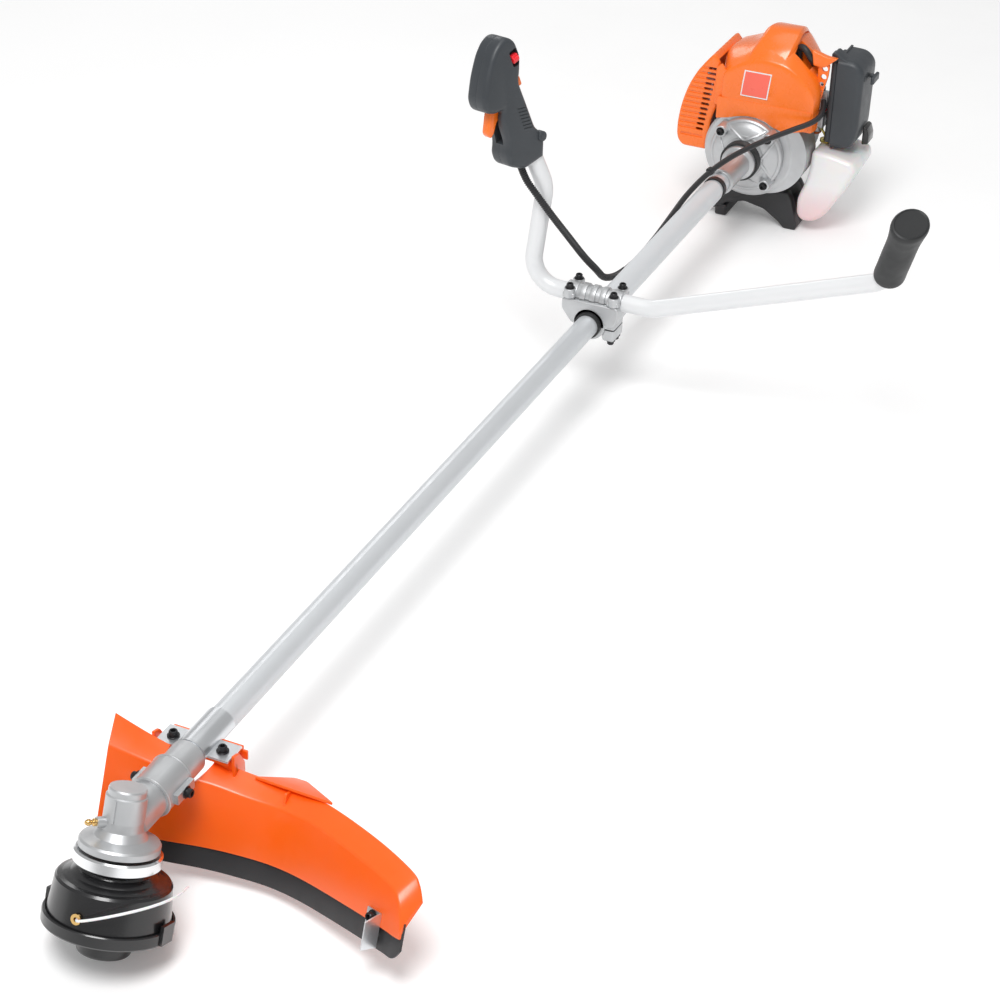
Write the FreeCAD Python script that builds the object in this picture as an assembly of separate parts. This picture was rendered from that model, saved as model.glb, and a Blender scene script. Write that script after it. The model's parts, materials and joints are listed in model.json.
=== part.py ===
import FreeCAD, Part
import os
from math import atan, cos, pi, radians, sin, tan

Vector = FreeCAD.Vector
Rotation = FreeCAD.Rotation

# A petrol string trimmer lying on its bump knob and its engine stand, in millimetres. It is designed in the
# drive frame: origin where the tube's axis meets the head's spin axis, +X along the tube to the engine,
# +Z up, +Y towards the throttle grip. Every shape is then moved so that the origin is under the machine's
# middle.

# Driving dimensions
TUBE_HEIGHT = 116.0          # tube axis above the floor
MIDDLE_X = 854.0             # middle of the machine along the tube, from the head's axis
MIDDLE_Y = -133.8            # middle of the machine across the tube
HEAD_TILT = 22.0             # the head's spin axis leans this far from vertical, in degrees
TUBE_RADIUS = 14.0
TUBE_END = 1545.0
CLEARANCE = 0.05             # radial clearance of a running fit
SHAFT_RADIUS = 4.0
SPINDLE_RADIUS = 5.0
BEARING_RADIUS = 13.0
CLAMP_X = 1078.0             # where the handlebar crosses the tube
BAR_Z = 28.5                 # handlebar axis above the tube axis
BAR_RADIUS = 11.0
ENGINE_X = 1625.0            # bolt face of the clutch housing
BOLT_SPREAD = 35.0           # engine bolts stand this far from the axis along Y and Z
SCREW_RADIUS = 2.5
SCREW_HEAD_RADIUS = 4.3
SCREW_HEAD_HEIGHT = 6.0
GEAR_TEETH = 19
PINION_TEETH = 14
CONE_DISTANCE = 21.5         # outer cone distance of the bevel pair
FACE_WIDTH = 8.0
BORE_RADIUS = 20.0           # cylinder bore
STROKE = 30.0
LINE_RADIUS = 1.25
CABLE_RADIUS = 4.0
HOSE_RADIUS = 4.6            # corrugated hose over the lower part of the throttle cable
WALL = 2.5                   # moulded plastic wall

X_AXIS = Vector(1, 0, 0)
Y_AXIS = Vector(0, 1, 0)
Z_AXIS = Vector(0, 0, 1)
DRIVE_ORIGIN = Vector(-MIDDLE_X, -MIDDLE_Y, TUBE_HEIGHT)

GRIP_BASE = Vector(1091, 82, 178)
GRIP_UP = Vector(-0.26, 0.22, 0.94).normalize()
GRIP_FRONT = Vector(-0.395, -0.913, 0.105).cross(GRIP_UP).normalize()
GRIP_SIDE = GRIP_UP.cross(GRIP_FRONT)
GRIP_HALF = 17.0             # half the throttle grip's thickness
SUPPORT_BASE = Vector(1087, -357, 133)
SUPPORT_UP = Vector(-0.39, -0.28, 0.88).normalize()

parts = {}


# ---- helpers ----

def rod(radius, start, direction, length):
    return Part.makeCylinder(radius, length, Vector(start), Vector(direction))


def ring(outer, inner, start, direction, length):
    return rod(outer, start, direction, length).cut(rod(inner, start, direction, length))


def block(x0, x1, y0, y1, z0, z1):
    return Part.makeBox(x1 - x0, y1 - y0, z1 - z0, Vector(x0, y0, z0))


def rounded_block(x0, x1, y0, y1, z0, z1, radius):
    solid = block(x0, x1, y0, y1, z0, z1)
    return solid.makeFillet(radius, solid.Edges)


def fuse(shapes):
    return shapes[0].multiFuse(shapes[1:]).removeSplitter()


def cut(solid, tools):
    return solid.cut(tools)


def turned(profile, start=Vector(0, 0, 0), direction=Z_AXIS):
    """A profile of (radius, height) points turned about its own axis, which stands at start."""
    corners = [Vector(radius, 0, height) for radius, height in profile]
    wire = Part.makePolygon(corners + corners[:1])
    solid = Part.Face(wire).revolve(Vector(0, 0, 0), Z_AXIS, 360)
    if solid.Volume < 0:
        solid.reverse()
    solid.Placement = FreeCAD.Placement(Vector(start), Rotation(Z_AXIS, Vector(direction)))
    return solid


def prism(corners, depth):
    """A flat outline of 3-D corners, pushed along the vector depth."""
    points = [Vector(corner) for corner in corners]
    return Part.Face(Part.makePolygon(points + points[:1])).extrude(Vector(depth))


def head_place(solid):
    """From the head's own frame, with its spin axis upright, to the drive frame."""
    solid = solid.copy()
    solid.rotate(Vector(0, 0, 0), Y_AXIS, HEAD_TILT)
    return solid


def tangent_path(points, radii):
    """Straight runs through points, joined by tangent arcs of the given radii."""
    edges = []
    start = Vector(points[0])
    for index in range(1, len(points) - 1):
        corner = Vector(points[index])
        back = (Vector(points[index - 1]) - corner).normalize()
        ahead = (Vector(points[index + 1]) - corner).normalize()
        half_turn = (pi - back.getAngle(ahead)) / 2
        reach = radii[index - 1] * tan(half_turn)
        first = corner + back * reach
        last = corner + ahead * reach
        middle_way = (back + ahead).normalize()
        middle = corner + middle_way * (radii[index - 1] * (1 / cos(half_turn) - 1))
        edges.append(Part.LineSegment(start, first).toShape())
        edges.append(Part.Arc(first, middle, last).toShape())
        start = last
    edges.append(Part.LineSegment(start, Vector(points[-1])).toShape())
    return Part.Wire(edges)


def easy_radii(points):
    """The largest arc that each corner's two runs allow."""
    radii = []
    for index in range(1, len(points) - 1):
        back = Vector(points[index - 1]) - Vector(points[index])
        ahead = Vector(points[index + 1]) - Vector(points[index])
        half_turn = (pi - back.getAngle(ahead)) / 2
        radii.append(0.45 * min(back.Length, ahead.Length) / tan(half_turn))
    return radii


def swept(points, radii, radius):
    path = tangent_path(points, radii)
    heading = Vector(points[1]) - Vector(points[0])
    section = Part.Wire(Part.makeCircle(radius, Vector(points[0]), heading))
    solid = path.makePipeShell([section], True, False)
    return solid, path.Length


def cable(name, points, radius):
    """A cable along a hand-set route; prints its bend radii, length and volume against section x length."""
    radii = easy_radii(points)
    solid, length = swept(points, radii, radius)
    ideal = pi * radius ** 2 * length
    print(name, "length", round(length, 1), "volume ratio", round(solid.Volume / ideal, 4),
          "radii", [round(value, 1) for value in radii])
    return solid


def socket_screw(seat, direction, length):
    """A socket-head screw: seat is the centre under the head, direction points out of the work."""
    seat = Vector(seat)
    out = Vector(direction).normalize()
    head = rod(SCREW_HEAD_RADIUS, seat, out, SCREW_HEAD_HEIGHT)
    shank = rod(SCREW_RADIUS, seat - out * length, out, length)
    socket = rod(2.0, seat + out * 2, out, SCREW_HEAD_HEIGHT)
    return head.fuse(shank).cut(socket)


def screw_hole(seat, direction, length):
    out = Vector(direction).normalize()
    return rod(SCREW_RADIUS + CLEARANCE, Vector(seat) - out * length, out, length)


def ball_race(start, direction, width, outer, inner):
    """Outer ring, inner ring and balls of a small bearing."""
    start = Vector(start)
    axis = Vector(direction).normalize()
    middle = (outer + inner) / 2
    gap = (outer - inner) * 0.22
    pieces = [ring(outer, middle + gap, start, axis, width), ring(middle - gap, inner, start, axis, width)]
    turn = Rotation(Z_AXIS, axis)
    for index in range(7):
        angle = 2 * pi * index / 7
        spot = turn.multVec(Vector(middle * cos(angle), middle * sin(angle), 0))
        pieces.append(Part.makeSphere(gap - 0.1, start + axis * (width / 2) + spot))
    return pieces


# ---- bevel pair and gearcase, in the head's own frame unless stated ----

def cone_angles():
    shaft_angle = radians(90 - HEAD_TILT)
    pinion = atan(sin(shaft_angle) / (GEAR_TEETH / PINION_TEETH + cos(shaft_angle)))
    return pinion, shaft_angle - pinion


def toothed_section(teeth, cone, distance, addendum, dedendum, start_angle):
    """The closed outline of a bevel gear at one cone distance; apex at the origin, axis +Z."""
    corners = []
    tooth_widths = ((-0.30, -dedendum), (-0.11, addendum), (0.11, addendum), (0.30, -dedendum))
    for tooth in range(teeth):
        for share, rise in tooth_widths:
            angle = start_angle + 2 * pi * (tooth + share) / teeth
            radius = distance * sin(cone) + rise * cos(cone)
            height = distance * cos(cone) - rise * sin(cone)
            corners.append(Vector(radius * cos(angle), radius * sin(angle), height))
    return corners


def bevel_teeth(teeth, cone, start_angle):
    """A faceted bevel gear between two cone distances, closed by a fan of flat faces at each end."""
    module = 2 * CONE_DISTANCE * sin(cone) / teeth
    outer = toothed_section(teeth, cone, CONE_DISTANCE, 0.8 * module, 1.15 * module, start_angle)
    shrink = (CONE_DISTANCE - FACE_WIDTH) / CONE_DISTANCE
    inner = [corner * shrink for corner in outer]
    outer_hub = Vector(0, 0, CONE_DISTANCE * cos(cone) + 3)
    inner_hub = Vector(0, 0, CONE_DISTANCE * cos(cone) * shrink)
    faces = []
    count = len(outer)
    for index in range(count):
        after = (index + 1) % count
        for triangle in ((outer[index], outer[after], outer_hub),
                         (inner[after], inner[index], inner_hub),
                         (outer[index], inner[index], inner[after]),
                         (outer[index], inner[after], outer[after])):
            faces.append(Part.Face(Part.makePolygon(list(triangle) + [triangle[0]])))
    return Part.makeSolid(Part.makeShell(faces))


def make_gearcase():
    case = turned([(0, -18), (36.3, -18), (36.3, -12.5), (35, -10.5), (24, -7), (19.5, 0), (18.5, 8),
                   (18.5, 30), (17, 31), (17, 36), (16.2, 37.5), (0, 37.5)])
    rib = block(-19.6, -17, -1.2, 1.2, 8, 29)
    boss = rod(5, Vector(-14, 9, 6), Vector(-0.8, 0.6, 0), 9)
    upright = head_place(fuse([case, rib, boss]))
    socket = fuse([rod(18.5, (8, 0, 0), X_AXIS, 36), rod(20.5, (44, 0, 0), X_AXIS, 40),
                   rod(17.5, (84, 0, 0), X_AXIS, 27), block(52, 80, -25, -14, -5, 5),
                   block(54, 74, 14, 24, -4, 6)])
    case = fuse([upright, socket])
    chamber = turned([(0, -6), (8, -6), (13.5, 3), (15.7, 9), (15.7, 24.5), (0, 24.5)])
    upper_seat = rod(11, (0, 0, 24), Z_AXIS, 9)
    lower_seat = rod(BEARING_RADIUS, (0, 0, -19), Z_AXIS, 10)
    drop = rod(8, (0, 0, -12), Z_AXIS, 10)
    case = cut(case, [head_place(tool) for tool in (chamber, upper_seat, lower_seat, drop)])
    case = cut(case, [rod(12.5, (8, 0, 0), X_AXIS, 24), rod(BEARING_RADIUS, (31, 0, 0), X_AXIS, 21),
                      rod(TUBE_RADIUS, (52, 0, 0), X_AXIS, 60)])
    for seat, direction in GEARCASE_SCREWS:
        case = case.cut(screw_hole(seat, direction, 12))
    return case


GEARCASE_SCREWS = [(Vector(66, -25, 0), Vector(0, -1, 0)), (Vector(64, 24, 1), Vector(0, 1, 0))]


def make_bearings():
    pieces = ball_race((0, 0, -17.6), Z_AXIS, 8, BEARING_RADIUS, SPINDLE_RADIUS)
    pieces += ball_race((0, 0, 25), Z_AXIS, 7, 11, SPINDLE_RADIUS)
    pieces = [head_place(piece) for piece in pieces]
    for start in (32, 41):
        pieces += ball_race((start, 0, 0), X_AXIS, 8, BEARING_RADIUS, SPINDLE_RADIUS)
    for index in range(6):
        pieces.append(ring(12.4, SHAFT_RADIUS + CLEARANCE, (150 + 240 * index, 0, 0), X_AXIS, 14))
    return Part.makeCompound(pieces)


def make_bevel_gear():
    gear_cone = cone_angles()[1]
    gear = bevel_teeth(GEAR_TEETH, gear_cone, pi / GEAR_TEETH)
    gear = gear.fuse(rod(8, (0, 0, 17), Z_AXIS, 7)).cut(rod(SPINDLE_RADIUS, (0, 0, -5), Z_AXIS, 40))
    return head_place(gear)


def make_pinion_shaft():
    pinion_cone = cone_angles()[0]
    pinion = bevel_teeth(PINION_TEETH, pinion_cone, 0)
    pinion.rotate(Vector(0, 0, 0), Y_AXIS, 90)
    pinion.rotate(Vector(0, 0, 0), X_AXIS, 180)
    collar = rod(7.5, (20, 0, 0), X_AXIS, 11.6)
    journal = rod(SPINDLE_RADIUS - 0.02, (14, 0, 0), X_AXIS, 38)
    return fuse([pinion, collar, journal])


def make_output_shaft():
    shaft = rod(SPINDLE_RADIUS - 0.02, (0, 0, -49), Z_AXIS, 82)
    shoulder = rod(7, (0, 0, -9.4), Z_AXIS, 4)
    return head_place(fuse([shaft, shoulder]))


# ---- trimmer head ----

def make_upper_holder():
    dish = turned([(SPINDLE_RADIUS, -25), (SPINDLE_RADIUS, -18.6), (10, -18.6), (12, -20), (37.5, -20.5),
                   (39.4, -22), (39.4, -31), (38.6, -32), (37.2, -32), (37.2, -24.5), (12, -25)])
    return head_place(dish)


def make_head_housing():
    shell = turned([(SPINDLE_RADIUS, -25.4), (29, -25.4), (30.5, -34), (33, -38), (39, -42.5), (46, -45.4),
                    (50, -46.3), (51.8, -48.5), (55, -79), (55.4, -88), (52.4, -88), (49.2, -53),
                    (34, -47), (27.5, -40), (26.5, -29.5), (12, -29.5), (12, -50), (SPINDLE_RADIUS, -50)])
    for direction in (X_AXIS, -X_AXIS):
        shell = shell.cut(rod(4.0, Vector(0, 0, -69) + direction * 45, direction, 15))
    return head_place(shell)


def make_line_eyelets():
    pieces = []
    for direction in (X_AXIS, -X_AXIS):
        centre = Vector(0, 0, -69)
        sleeve = ring(3.95, 2.1, centre + direction * 49.5, direction, 6.5)
        lip = ring(5.0, 2.1, centre + direction * 55.2, direction, 1.8)
        pieces.append(head_place(sleeve.fuse(lip)))
    return Part.makeCompound(pieces)


def make_head_cover():
    cover = turned([(26.5, -88.4), (26.5, -91), (57.6, -91), (58.8, -89.5), (58.8, -80), (58, -79),
                    (56, -79), (56, -88.4)])
    tabs = []
    for side in (1, -1):
        tabs.append(block(-9, 9, min(side * 57, side * 60.5), max(side * 57, side * 60.5), -90, -72))
    cover = fuse([cover] + tabs)
    return head_place(cover)


def make_spool():
    spool = turned([(13, -59), (46, -59), (46, -61), (22.5, -61), (22.5, -78), (46, -78), (46, -80),
                    (13, -80)])
    return head_place(spool)


def make_line_winding():
    profile = [(22.6, -61.2), (41, -61.2), (42.5, -64), (42.5, -75), (41, -77.8), (22.6, -77.8)]
    return head_place(turned(profile))


def make_bump_knob():
    edge = 3.0
    radius = 24.5
    lean = radians(HEAD_TILT)
    bottom = -((TUBE_HEIGHT - (radius - edge) * sin(lean) - edge) / cos(lean) + edge)
    knob = rod(radius, (0, 0, bottom), Z_AXIS, -80.2 - bottom)
    lower = [item for item in knob.Edges
             if abs(item.BoundBox.ZMax - bottom) < 0.01 and len(item.Vertexes) == 1]
    knob = knob.makeFillet(edge, lower)
    knob = knob.cut(rod(14, (0, 0, bottom + 12), Z_AXIS, 40))
    return head_place(knob)


FRONT_LINE = [(-51, 0, -69), (-62, -1, -69), (-61.6, -14, -64), (-56.5, -28.5, -58), (-45.5, -42.5, -52.8),
              (-29.5, -54.5, -48.6), (-10.5, -61.8, -45.6), (7.5, -63.2, -43.8), (21.5, -61, -42.8)]
REAR_LINE = [(51, 0, -69), (62, 1, -69), (62, 14, -67.5), (57, 29, -65.5), (46, 43.5, -63.5),
             (31, 55, -62.2)]


def make_cutting_line(name, route):
    return head_place(cable(name, [Vector(point) for point in route], LINE_RADIUS))


# ---- guard, in the head's own frame ----

# Along the guard: plan position, then heights of the lower edge, the fold and the leaning upper edge
GUARD_STATIONS = [
    (72, 66, -43, 40, 63), (86, 30, -41, 31, 50), (94, 2, -40, 25, 41), (105, -29, -39.5, 21, 38),
    (111, -60, -39, 17, 34), (113, -95, -39, 16, 32), (104, -133, -39, 15, 31), (80, -190, -39, 9, 25),
    (60, -232, -39, 3, 17), (46, -255, -38, -2, 10)]


def outward(index):
    """The guard's outward direction in plan at one station."""
    before = GUARD_STATIONS[max(index - 1, 0)]
    after = GUARD_STATIONS[min(index + 1, len(GUARD_STATIONS) - 1)]
    along = Vector(after[0] - before[0], after[1] - before[1], 0).normalize()
    return Vector(-along.y, along.x, 0)


def guard_band(height_of, inner_offset, outer_offset):
    """A strip that follows the guard's plan; height_of gives each station's (offset, height) outline."""
    sections = []
    for index, station in enumerate(GUARD_STATIONS):
        spot = Vector(station[0], station[1], 0)
        out = outward(index)
        corners = [spot + out * push + Vector(0, 0, height) for push, height in height_of(station)]
        inner = [corner + out * inner_offset for corner in corners]
        outer = [corner + out * outer_offset for corner in corners]
        ring_points = inner + outer[::-1]
        sections.append(Part.makePolygon(ring_points + ring_points[:1]))
    return Part.makeLoft(sections, True, False)


def make_guard():
    lean = 17.0
    wall = guard_band(lambda s: [(0, s[2]), (0, s[3]), (lean, s[4])], 0, WALL)
    wall = head_place(wall)
    deck = fuse([block(113, 148, -36, 36, -15, -0.5), block(116, 136, -46, -34, -26, -5),
                 block(116, 136, 34, 46, -26, -5)])
    notch = fuse([rod(21.5, (60, 0, 0), X_AXIS, 53), block(60, 113, -21.5, 21.5, 0, 60)])
    guard = fuse([wall.cut(notch), deck.cut(rod(20.9, (60, 0, 0), X_AXIS, 52.2))])
    guard = guard.cut(rod(TUBE_RADIUS + 0.3, (100, 0, 0), X_AXIS, 80))
    guard = cut(guard, [screw_hole(seat, Z_AXIS, 20) for seat in GUARD_BOLTS])
    return guard.cut(head_place(guard_foot_holes()))


GUARD_BOLTS = [Vector(128, side * 26, 2.6) for side in (-1, 1)]


def cutter_spot():
    """Where the line cutter stands on the guard: its place, the way out and the way along, in plan."""
    first = Vector(GUARD_STATIONS[7][0], GUARD_STATIONS[7][1], 0)
    last = Vector(GUARD_STATIONS[8][0], GUARD_STATIONS[8][1], 0)
    along = (last - first).normalize()
    return first + (last - first) * 0.75, Vector(-along.y, along.x, 0), along


def guard_foot_holes():
    spot, out, along = cutter_spot()
    return rod(SCREW_RADIUS + CLEARANCE, spot - out * 20 + Vector(0, 0, -32), out, 40)


def make_guard_skirt():
    skirt = guard_band(lambda s: [(0, -61), (0, -24)], WALL + 0.5, 2 * WALL + 0.5)
    return head_place(skirt.cut(guard_foot_holes()))


def make_line_cutter():
    spot, out, along = cutter_spot()
    low = Vector(0, 0, -58)
    plate = prism([spot + low - along * 9, spot + low + along * 9, spot + low + along * 9 + Vector(0, 0, 32),
                   spot + low - along * 9 + Vector(0, 0, 32)], out * -1.5)
    blade = prism([spot + low + along * 7.5 - out, spot + low + along * 7.5 - out * 17,
                   spot + low + along * 7.5 - out * 17 + Vector(0, 0, 26),
                   spot + low + along * 7.5 - out + Vector(0, 0, 32)], along * 1.5)
    plate = fuse([plate, blade])
    plate = plate.cut(guard_foot_holes())
    for shift in (-5, 3):
        plate = plate.cut(rod(2, spot + along * shift - out * 5 + Vector(0, 0, -50), out, 10))
    plate.translate(-out * 0.1)
    return head_place(plate)


def make_guard_bracket():
    strap = ring(TUBE_RADIUS + 2.0, TUBE_RADIUS, (114, 0, 0), X_AXIS, 54)
    strap = strap.cut(block(100, 180, -40, 40, -40, 0.2))
    ears = block(116, 142, -38, 38, 0.2, 2.4).cut(rod(TUBE_RADIUS, (100, 0, 0), X_AXIS, 80))
    bracket = fuse([strap, ears])
    return cut(bracket, [screw_hole(seat + Vector(0, 0, 2), Z_AXIS, 20) for seat in GUARD_BOLTS])


# ---- boom and handlebar ----

def make_main_tube():
    return ring(TUBE_RADIUS, 12.4, (52.5, 0, 0), X_AXIS, TUBE_END - 52.5)


def make_drive_shaft():
    return rod(SHAFT_RADIUS, (52.2, 0, 0), X_AXIS, 1576 - 52.2)


def make_tube_sleeve():
    return ring(TUBE_RADIUS + 1.6, TUBE_RADIUS, (1106, 0, 0), X_AXIS, 394)


def clamp_bolt_seats():
    return [Vector(CLAMP_X + dx, dy, BAR_Z + 12.4) for dx in (-14.5, 14.5) for dy in (-29, 29)]


def make_handle_bracket():
    x0 = CLAMP_X - 20
    top = BAR_Z - 0.4
    body = [(x0, 37, top), (x0, 37, 14), (x0, 24, -3), (x0, -20, -3), (x0, -33, 2), (x0, -37, 14),
            (x0, -37, top)]
    jaw = fuse([prism(body, (40, 0, 0)), rod(21, (x0, 0, 0), X_AXIS, 40),
                rounded_block(x0 + 4, x0 + 36, -32, -16, -21, 4, 3)])
    jaw = jaw.cut(rod(TUBE_RADIUS + 2.6, (x0 - 1, 0, 0), X_AXIS, 42))
    jaw = jaw.cut(rod(BAR_RADIUS, (CLAMP_X, -40, BAR_Z), Y_AXIS, 80))
    jaw = jaw.cut(block(x0 - 1, x0 + 41, -40, -15, -6, -4))
    jaw = cut(jaw, [screw_hole(seat, Z_AXIS, 36) for seat in clamp_bolt_seats()])
    return cut(jaw, [screw_hole(seat, -Z_AXIS, 18) for seat in lower_clamp_seats()])


def lower_clamp_seats():
    return [Vector(CLAMP_X + dx, -25.5, -21) for dx in (-8, 8)]


def make_handle_cap():
    x0 = CLAMP_X - 20
    pads = [rounded_block(x0, x0 + 40, min(side * 21, side * 37), max(side * 21, side * 37),
                          BAR_Z + 0.4, 36, 2) for side in (-1, 1)]
    posts = [rod(7.5, (seat.x, seat.y, BAR_Z + 0.4), Z_AXIS, 12) for seat in clamp_bolt_seats()]
    posts = [post.common(block(x0, x0 + 40, -37, 37, BAR_Z, 60)) for post in posts]
    sleeve = rod(BAR_RADIUS + 2.5, (CLAMP_X, -21, BAR_Z), Y_AXIS, 42)
    ribs = [rod(BAR_RADIUS + 4.2, (CLAMP_X, y - 4, BAR_Z), Y_AXIS, 8) for y in (-13, 0, 13)]
    ears = [rod(BAR_RADIUS + 3.5, (CLAMP_X, y, BAR_Z), Y_AXIS, 16) for y in (-37, 21)]
    cap = fuse(pads + posts + [sleeve] + ribs + ears)
    cap = cap.cut(block(x0 - 5, x0 + 45, -40, 40, 0, BAR_Z + 0.4))
    cap = cap.cut(rod(BAR_RADIUS, (CLAMP_X, -40, BAR_Z), Y_AXIS, 80))
    return cut(cap, [screw_hole(seat + Vector(0, 0, 10), Z_AXIS, 30) for seat in clamp_bolt_seats()])


def make_clamp_rubber():
    rubber = ring(TUBE_RADIUS + 2.6, TUBE_RADIUS, (CLAMP_X - 26, 0, 0), X_AXIS, 52)
    return rubber.cut(block(CLAMP_X - 30, CLAMP_X + 30, -1, 1, -30, -5))


def bar_route():
    grip_axis = GRIP_BASE + GRIP_FRONT * 12
    return [grip_axis + GRIP_UP * 95, Vector(1086, 76, 158), Vector(CLAMP_X, 89, BAR_Z),
            Vector(CLAMP_X, -74, BAR_Z), Vector(1086, -352, 126), SUPPORT_BASE + SUPPORT_UP * 92]


BAR_BENDS = [55, 36, 60, 26]


def make_handlebar():
    bar, length = swept(bar_route(), BAR_BENDS, BAR_RADIUS)
    print("handlebar length", round(length))
    return bar.cut(swept(bar_route(), BAR_BENDS, BAR_RADIUS - 2)[0])


def ellipse_wire(centre, normal, along, major, minor):
    across = Vector(normal).cross(Vector(along)).normalize()
    flat = Vector(along).normalize()
    shape = Part.Ellipse(Vector(centre) + flat * major, Vector(centre) + across * minor, Vector(centre))
    return Part.Wire(shape.toShape())


def make_support_grip():
    sections = []
    for reach, major, minor, shift in ((0, 17, 15, 0), (4, 20, 18, 0), (30, 21, 18, 1), (70, 22, 18, 2),
                                       (98, 25.5, 20.5, 3), (105, 24, 19, 3)):
        centre = SUPPORT_BASE + SUPPORT_UP * reach + GRIP_FRONT * shift
        across = GRIP_FRONT - SUPPORT_UP * GRIP_FRONT.dot(SUPPORT_UP)
        sections.append(ellipse_wire(centre, SUPPORT_UP, across, major, minor))
    grip = Part.makeLoft(sections, True, False)
    return grip.cut(swept(bar_route(), BAR_BENDS, BAR_RADIUS + 0.02)[0])


# Side outline of the throttle grip: (height along the grip, distance to the front)
GRIP_OUTLINE = [(24, 4), (50, -8), (63, 2), (101, 3), (130, 4), (142, -3), (158, -10), (180, -9), (191, 3),
                (188, 17), (179, 30), (160, 47), (136, 62), (122, 62), (114, 50), (112, 38), (98, 46),
                (70, 47),
                (56, 55), (42, 55), (26, 36), (25, 20)]
TRIGGER_PIVOT = (124.0, 24.0)


def grip_point(height, front, side=0.0):
    return GRIP_BASE + GRIP_UP * height + GRIP_FRONT * front + GRIP_SIDE * side


def grip_slab(outline, side0, side1):
    corners = [grip_point(height, front, side0) for height, front in outline]
    return prism(corners, GRIP_SIDE * (side1 - side0))


def throttle_housing_half(side):
    """One half shell; side is +1 for the half that faces the support grip and -1 for the other."""
    split = 0.05 * side
    half = grip_slab(GRIP_OUTLINE, split, side * GRIP_HALF)
    rim = [edge for edge in half.Edges
           if all(abs((corner.Point - GRIP_BASE).dot(GRIP_SIDE) - side * GRIP_HALF) < 0.01
                  for corner in edge.Vertexes)]
    half = half.makeFillet(5.0, rim)
    trigger_room = grip_slab([(68, 31), (98, 28), (106, 14), (134, 12), (140, 30), (128, 50), (108, 66),
                              (68, 66)], 0, side * 6.5)
    bar = swept(bar_route(), BAR_BENDS, BAR_RADIUS + 0.02)[0]
    half = half.cut(bar)
    half = half.cut(trigger_room)
    pivot = rod(2.0 + CLEARANCE, grip_point(*TRIGGER_PIVOT, -12), GRIP_SIDE, 24)
    half = half.cut(pivot)
    if side > 0:
        half = half.cut(grip_slab([(152, -5), (172, -5), (172, 5), (152, 5)], 10.5, 20))
    half = half.cut(grip_slab([(117, -9), (131, -9), (131, 10), (117, 10)], 0, side * 5.2))
    cable_exit = rod(HOSE_RADIUS + 0.3, grip_point(10, 30), GRIP_UP, 34)
    return half.cut(cable_exit)


def make_throttle_trigger():
    outline = [(102, 28), (108, 18), (128, 17), (133, 26), (124, 42), (112, 52), (92, 64), (84, 61),
               (88, 54),
               (98, 46)]
    blade = grip_slab(outline, -5.5, 5.5)
    pin = rod(2.0, grip_point(*TRIGGER_PIVOT, -11.5), GRIP_SIDE, 23)
    return blade.fuse(pin)


def make_stop_switch():
    outline = [(155.5, -4.5), (165.5, -4.5), (165.5, 4.5), (155.5, 4.5)]
    body = grip_slab(outline, 11, GRIP_HALF + 0.8)
    ridge = grip_slab([(158, -4.5), (163, -4.5), (163, 4.5), (158, 4.5)], GRIP_HALF, GRIP_HALF + 3)
    return fuse([body, ridge])


def make_throttle_lock():
    return grip_slab([(118, -6.5), (130, -6.5), (130, 7), (118, 7)], -4.8, 4.8)


# ---- throttle cable ----

CABLE_ROUTE = [
    grip_point(36, 30), grip_point(8, 31), Vector(1064, 80, 157), Vector(1072, 60, 127),
    Vector(1086, 43, 97),
    Vector(1108, 29, 62), Vector(1140, 24, 32), Vector(1182, 30, 0), Vector(1225, 25, -12),
    Vector(1280, 21.5, -11), Vector(1338, 21, -8), Vector(1396, 21, 0), Vector(1448, 18.5, 12),
    Vector(1500, 9, 24), Vector(1540, -8, 36), Vector(1580, -34, 47), Vector(1618, -67, 58),
    Vector(1648, -98.5, 68), Vector(1671, -99.5, 78), Vector(1688.5, -93, 85)]


def make_throttle_cable():
    return cable("throttle_cable", CABLE_ROUTE, CABLE_RADIUS)


def make_cable_ties():
    return ring(TUBE_RADIUS + 2.2, TUBE_RADIUS + CLEARANCE, (TUBE_END - 38, 0, 0), X_AXIS, 8)


# ---- engine ----

def engine_bolt_seats():
    sides = (-BOLT_SPREAD, BOLT_SPREAD)
    return [Vector(ENGINE_X, dy, dz) for dy in sides for dz in sides]


def make_clutch_housing():
    housing = turned([(TUBE_RADIUS, 1532), (17, 1532), (18.5, 1536), (18.5, 1604), (24.5, 1606), (25, 1629),
                      (36, 1631), (47, 1636), (52, 1644), (52, 1650), (40, 1650), (38, 1642), (34, 1637),
                      (20, 1633), (TUBE_RADIUS, 1630), (TUBE_RADIUS - 1, 1608), (TUBE_RADIUS - 1, 1546),
                      (TUBE_RADIUS, 1546)], (0, 0, 0), X_AXIS)
    for seat in engine_bolt_seats():
        housing = housing.fuse(rod(8, seat, X_AXIS, 25))
    ribs = [block(1627, 1643, -2, 2, 18, 46), block(1627, 1643, -2, 2, -46, -18),
            block(1627, 1643, -46, -18, -2, 2), block(1627, 1643, 18, 46, -2, 2)]
    housing = fuse([housing] + ribs)
    housing = housing.cut(turned([(0, 1630), (13.9, 1630), (20, 1633), (34, 1637), (38, 1642), (38, 1660),
                                  (0, 1660)], (0, 0, 0), X_AXIS))
    housing = cut(housing, [screw_hole(seat, -X_AXIS, 25.5) for seat in engine_bolt_seats()])
    return housing


def make_nose_ring():
    return ring(28, 25.05, (1612, 0, 0), X_AXIS, 13)


def make_clutch_drum():
    drum = turned([(SHAFT_RADIUS, 1576.5), (8, 1576.5), (8, 1638), (35, 1644), (36, 1646), (36, 1668),
                   (34, 1668), (34, 1646.5), (8, 1641), (0, 1641), (0, 1576.5)], (0, 0, 0), X_AXIS)
    return drum


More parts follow.
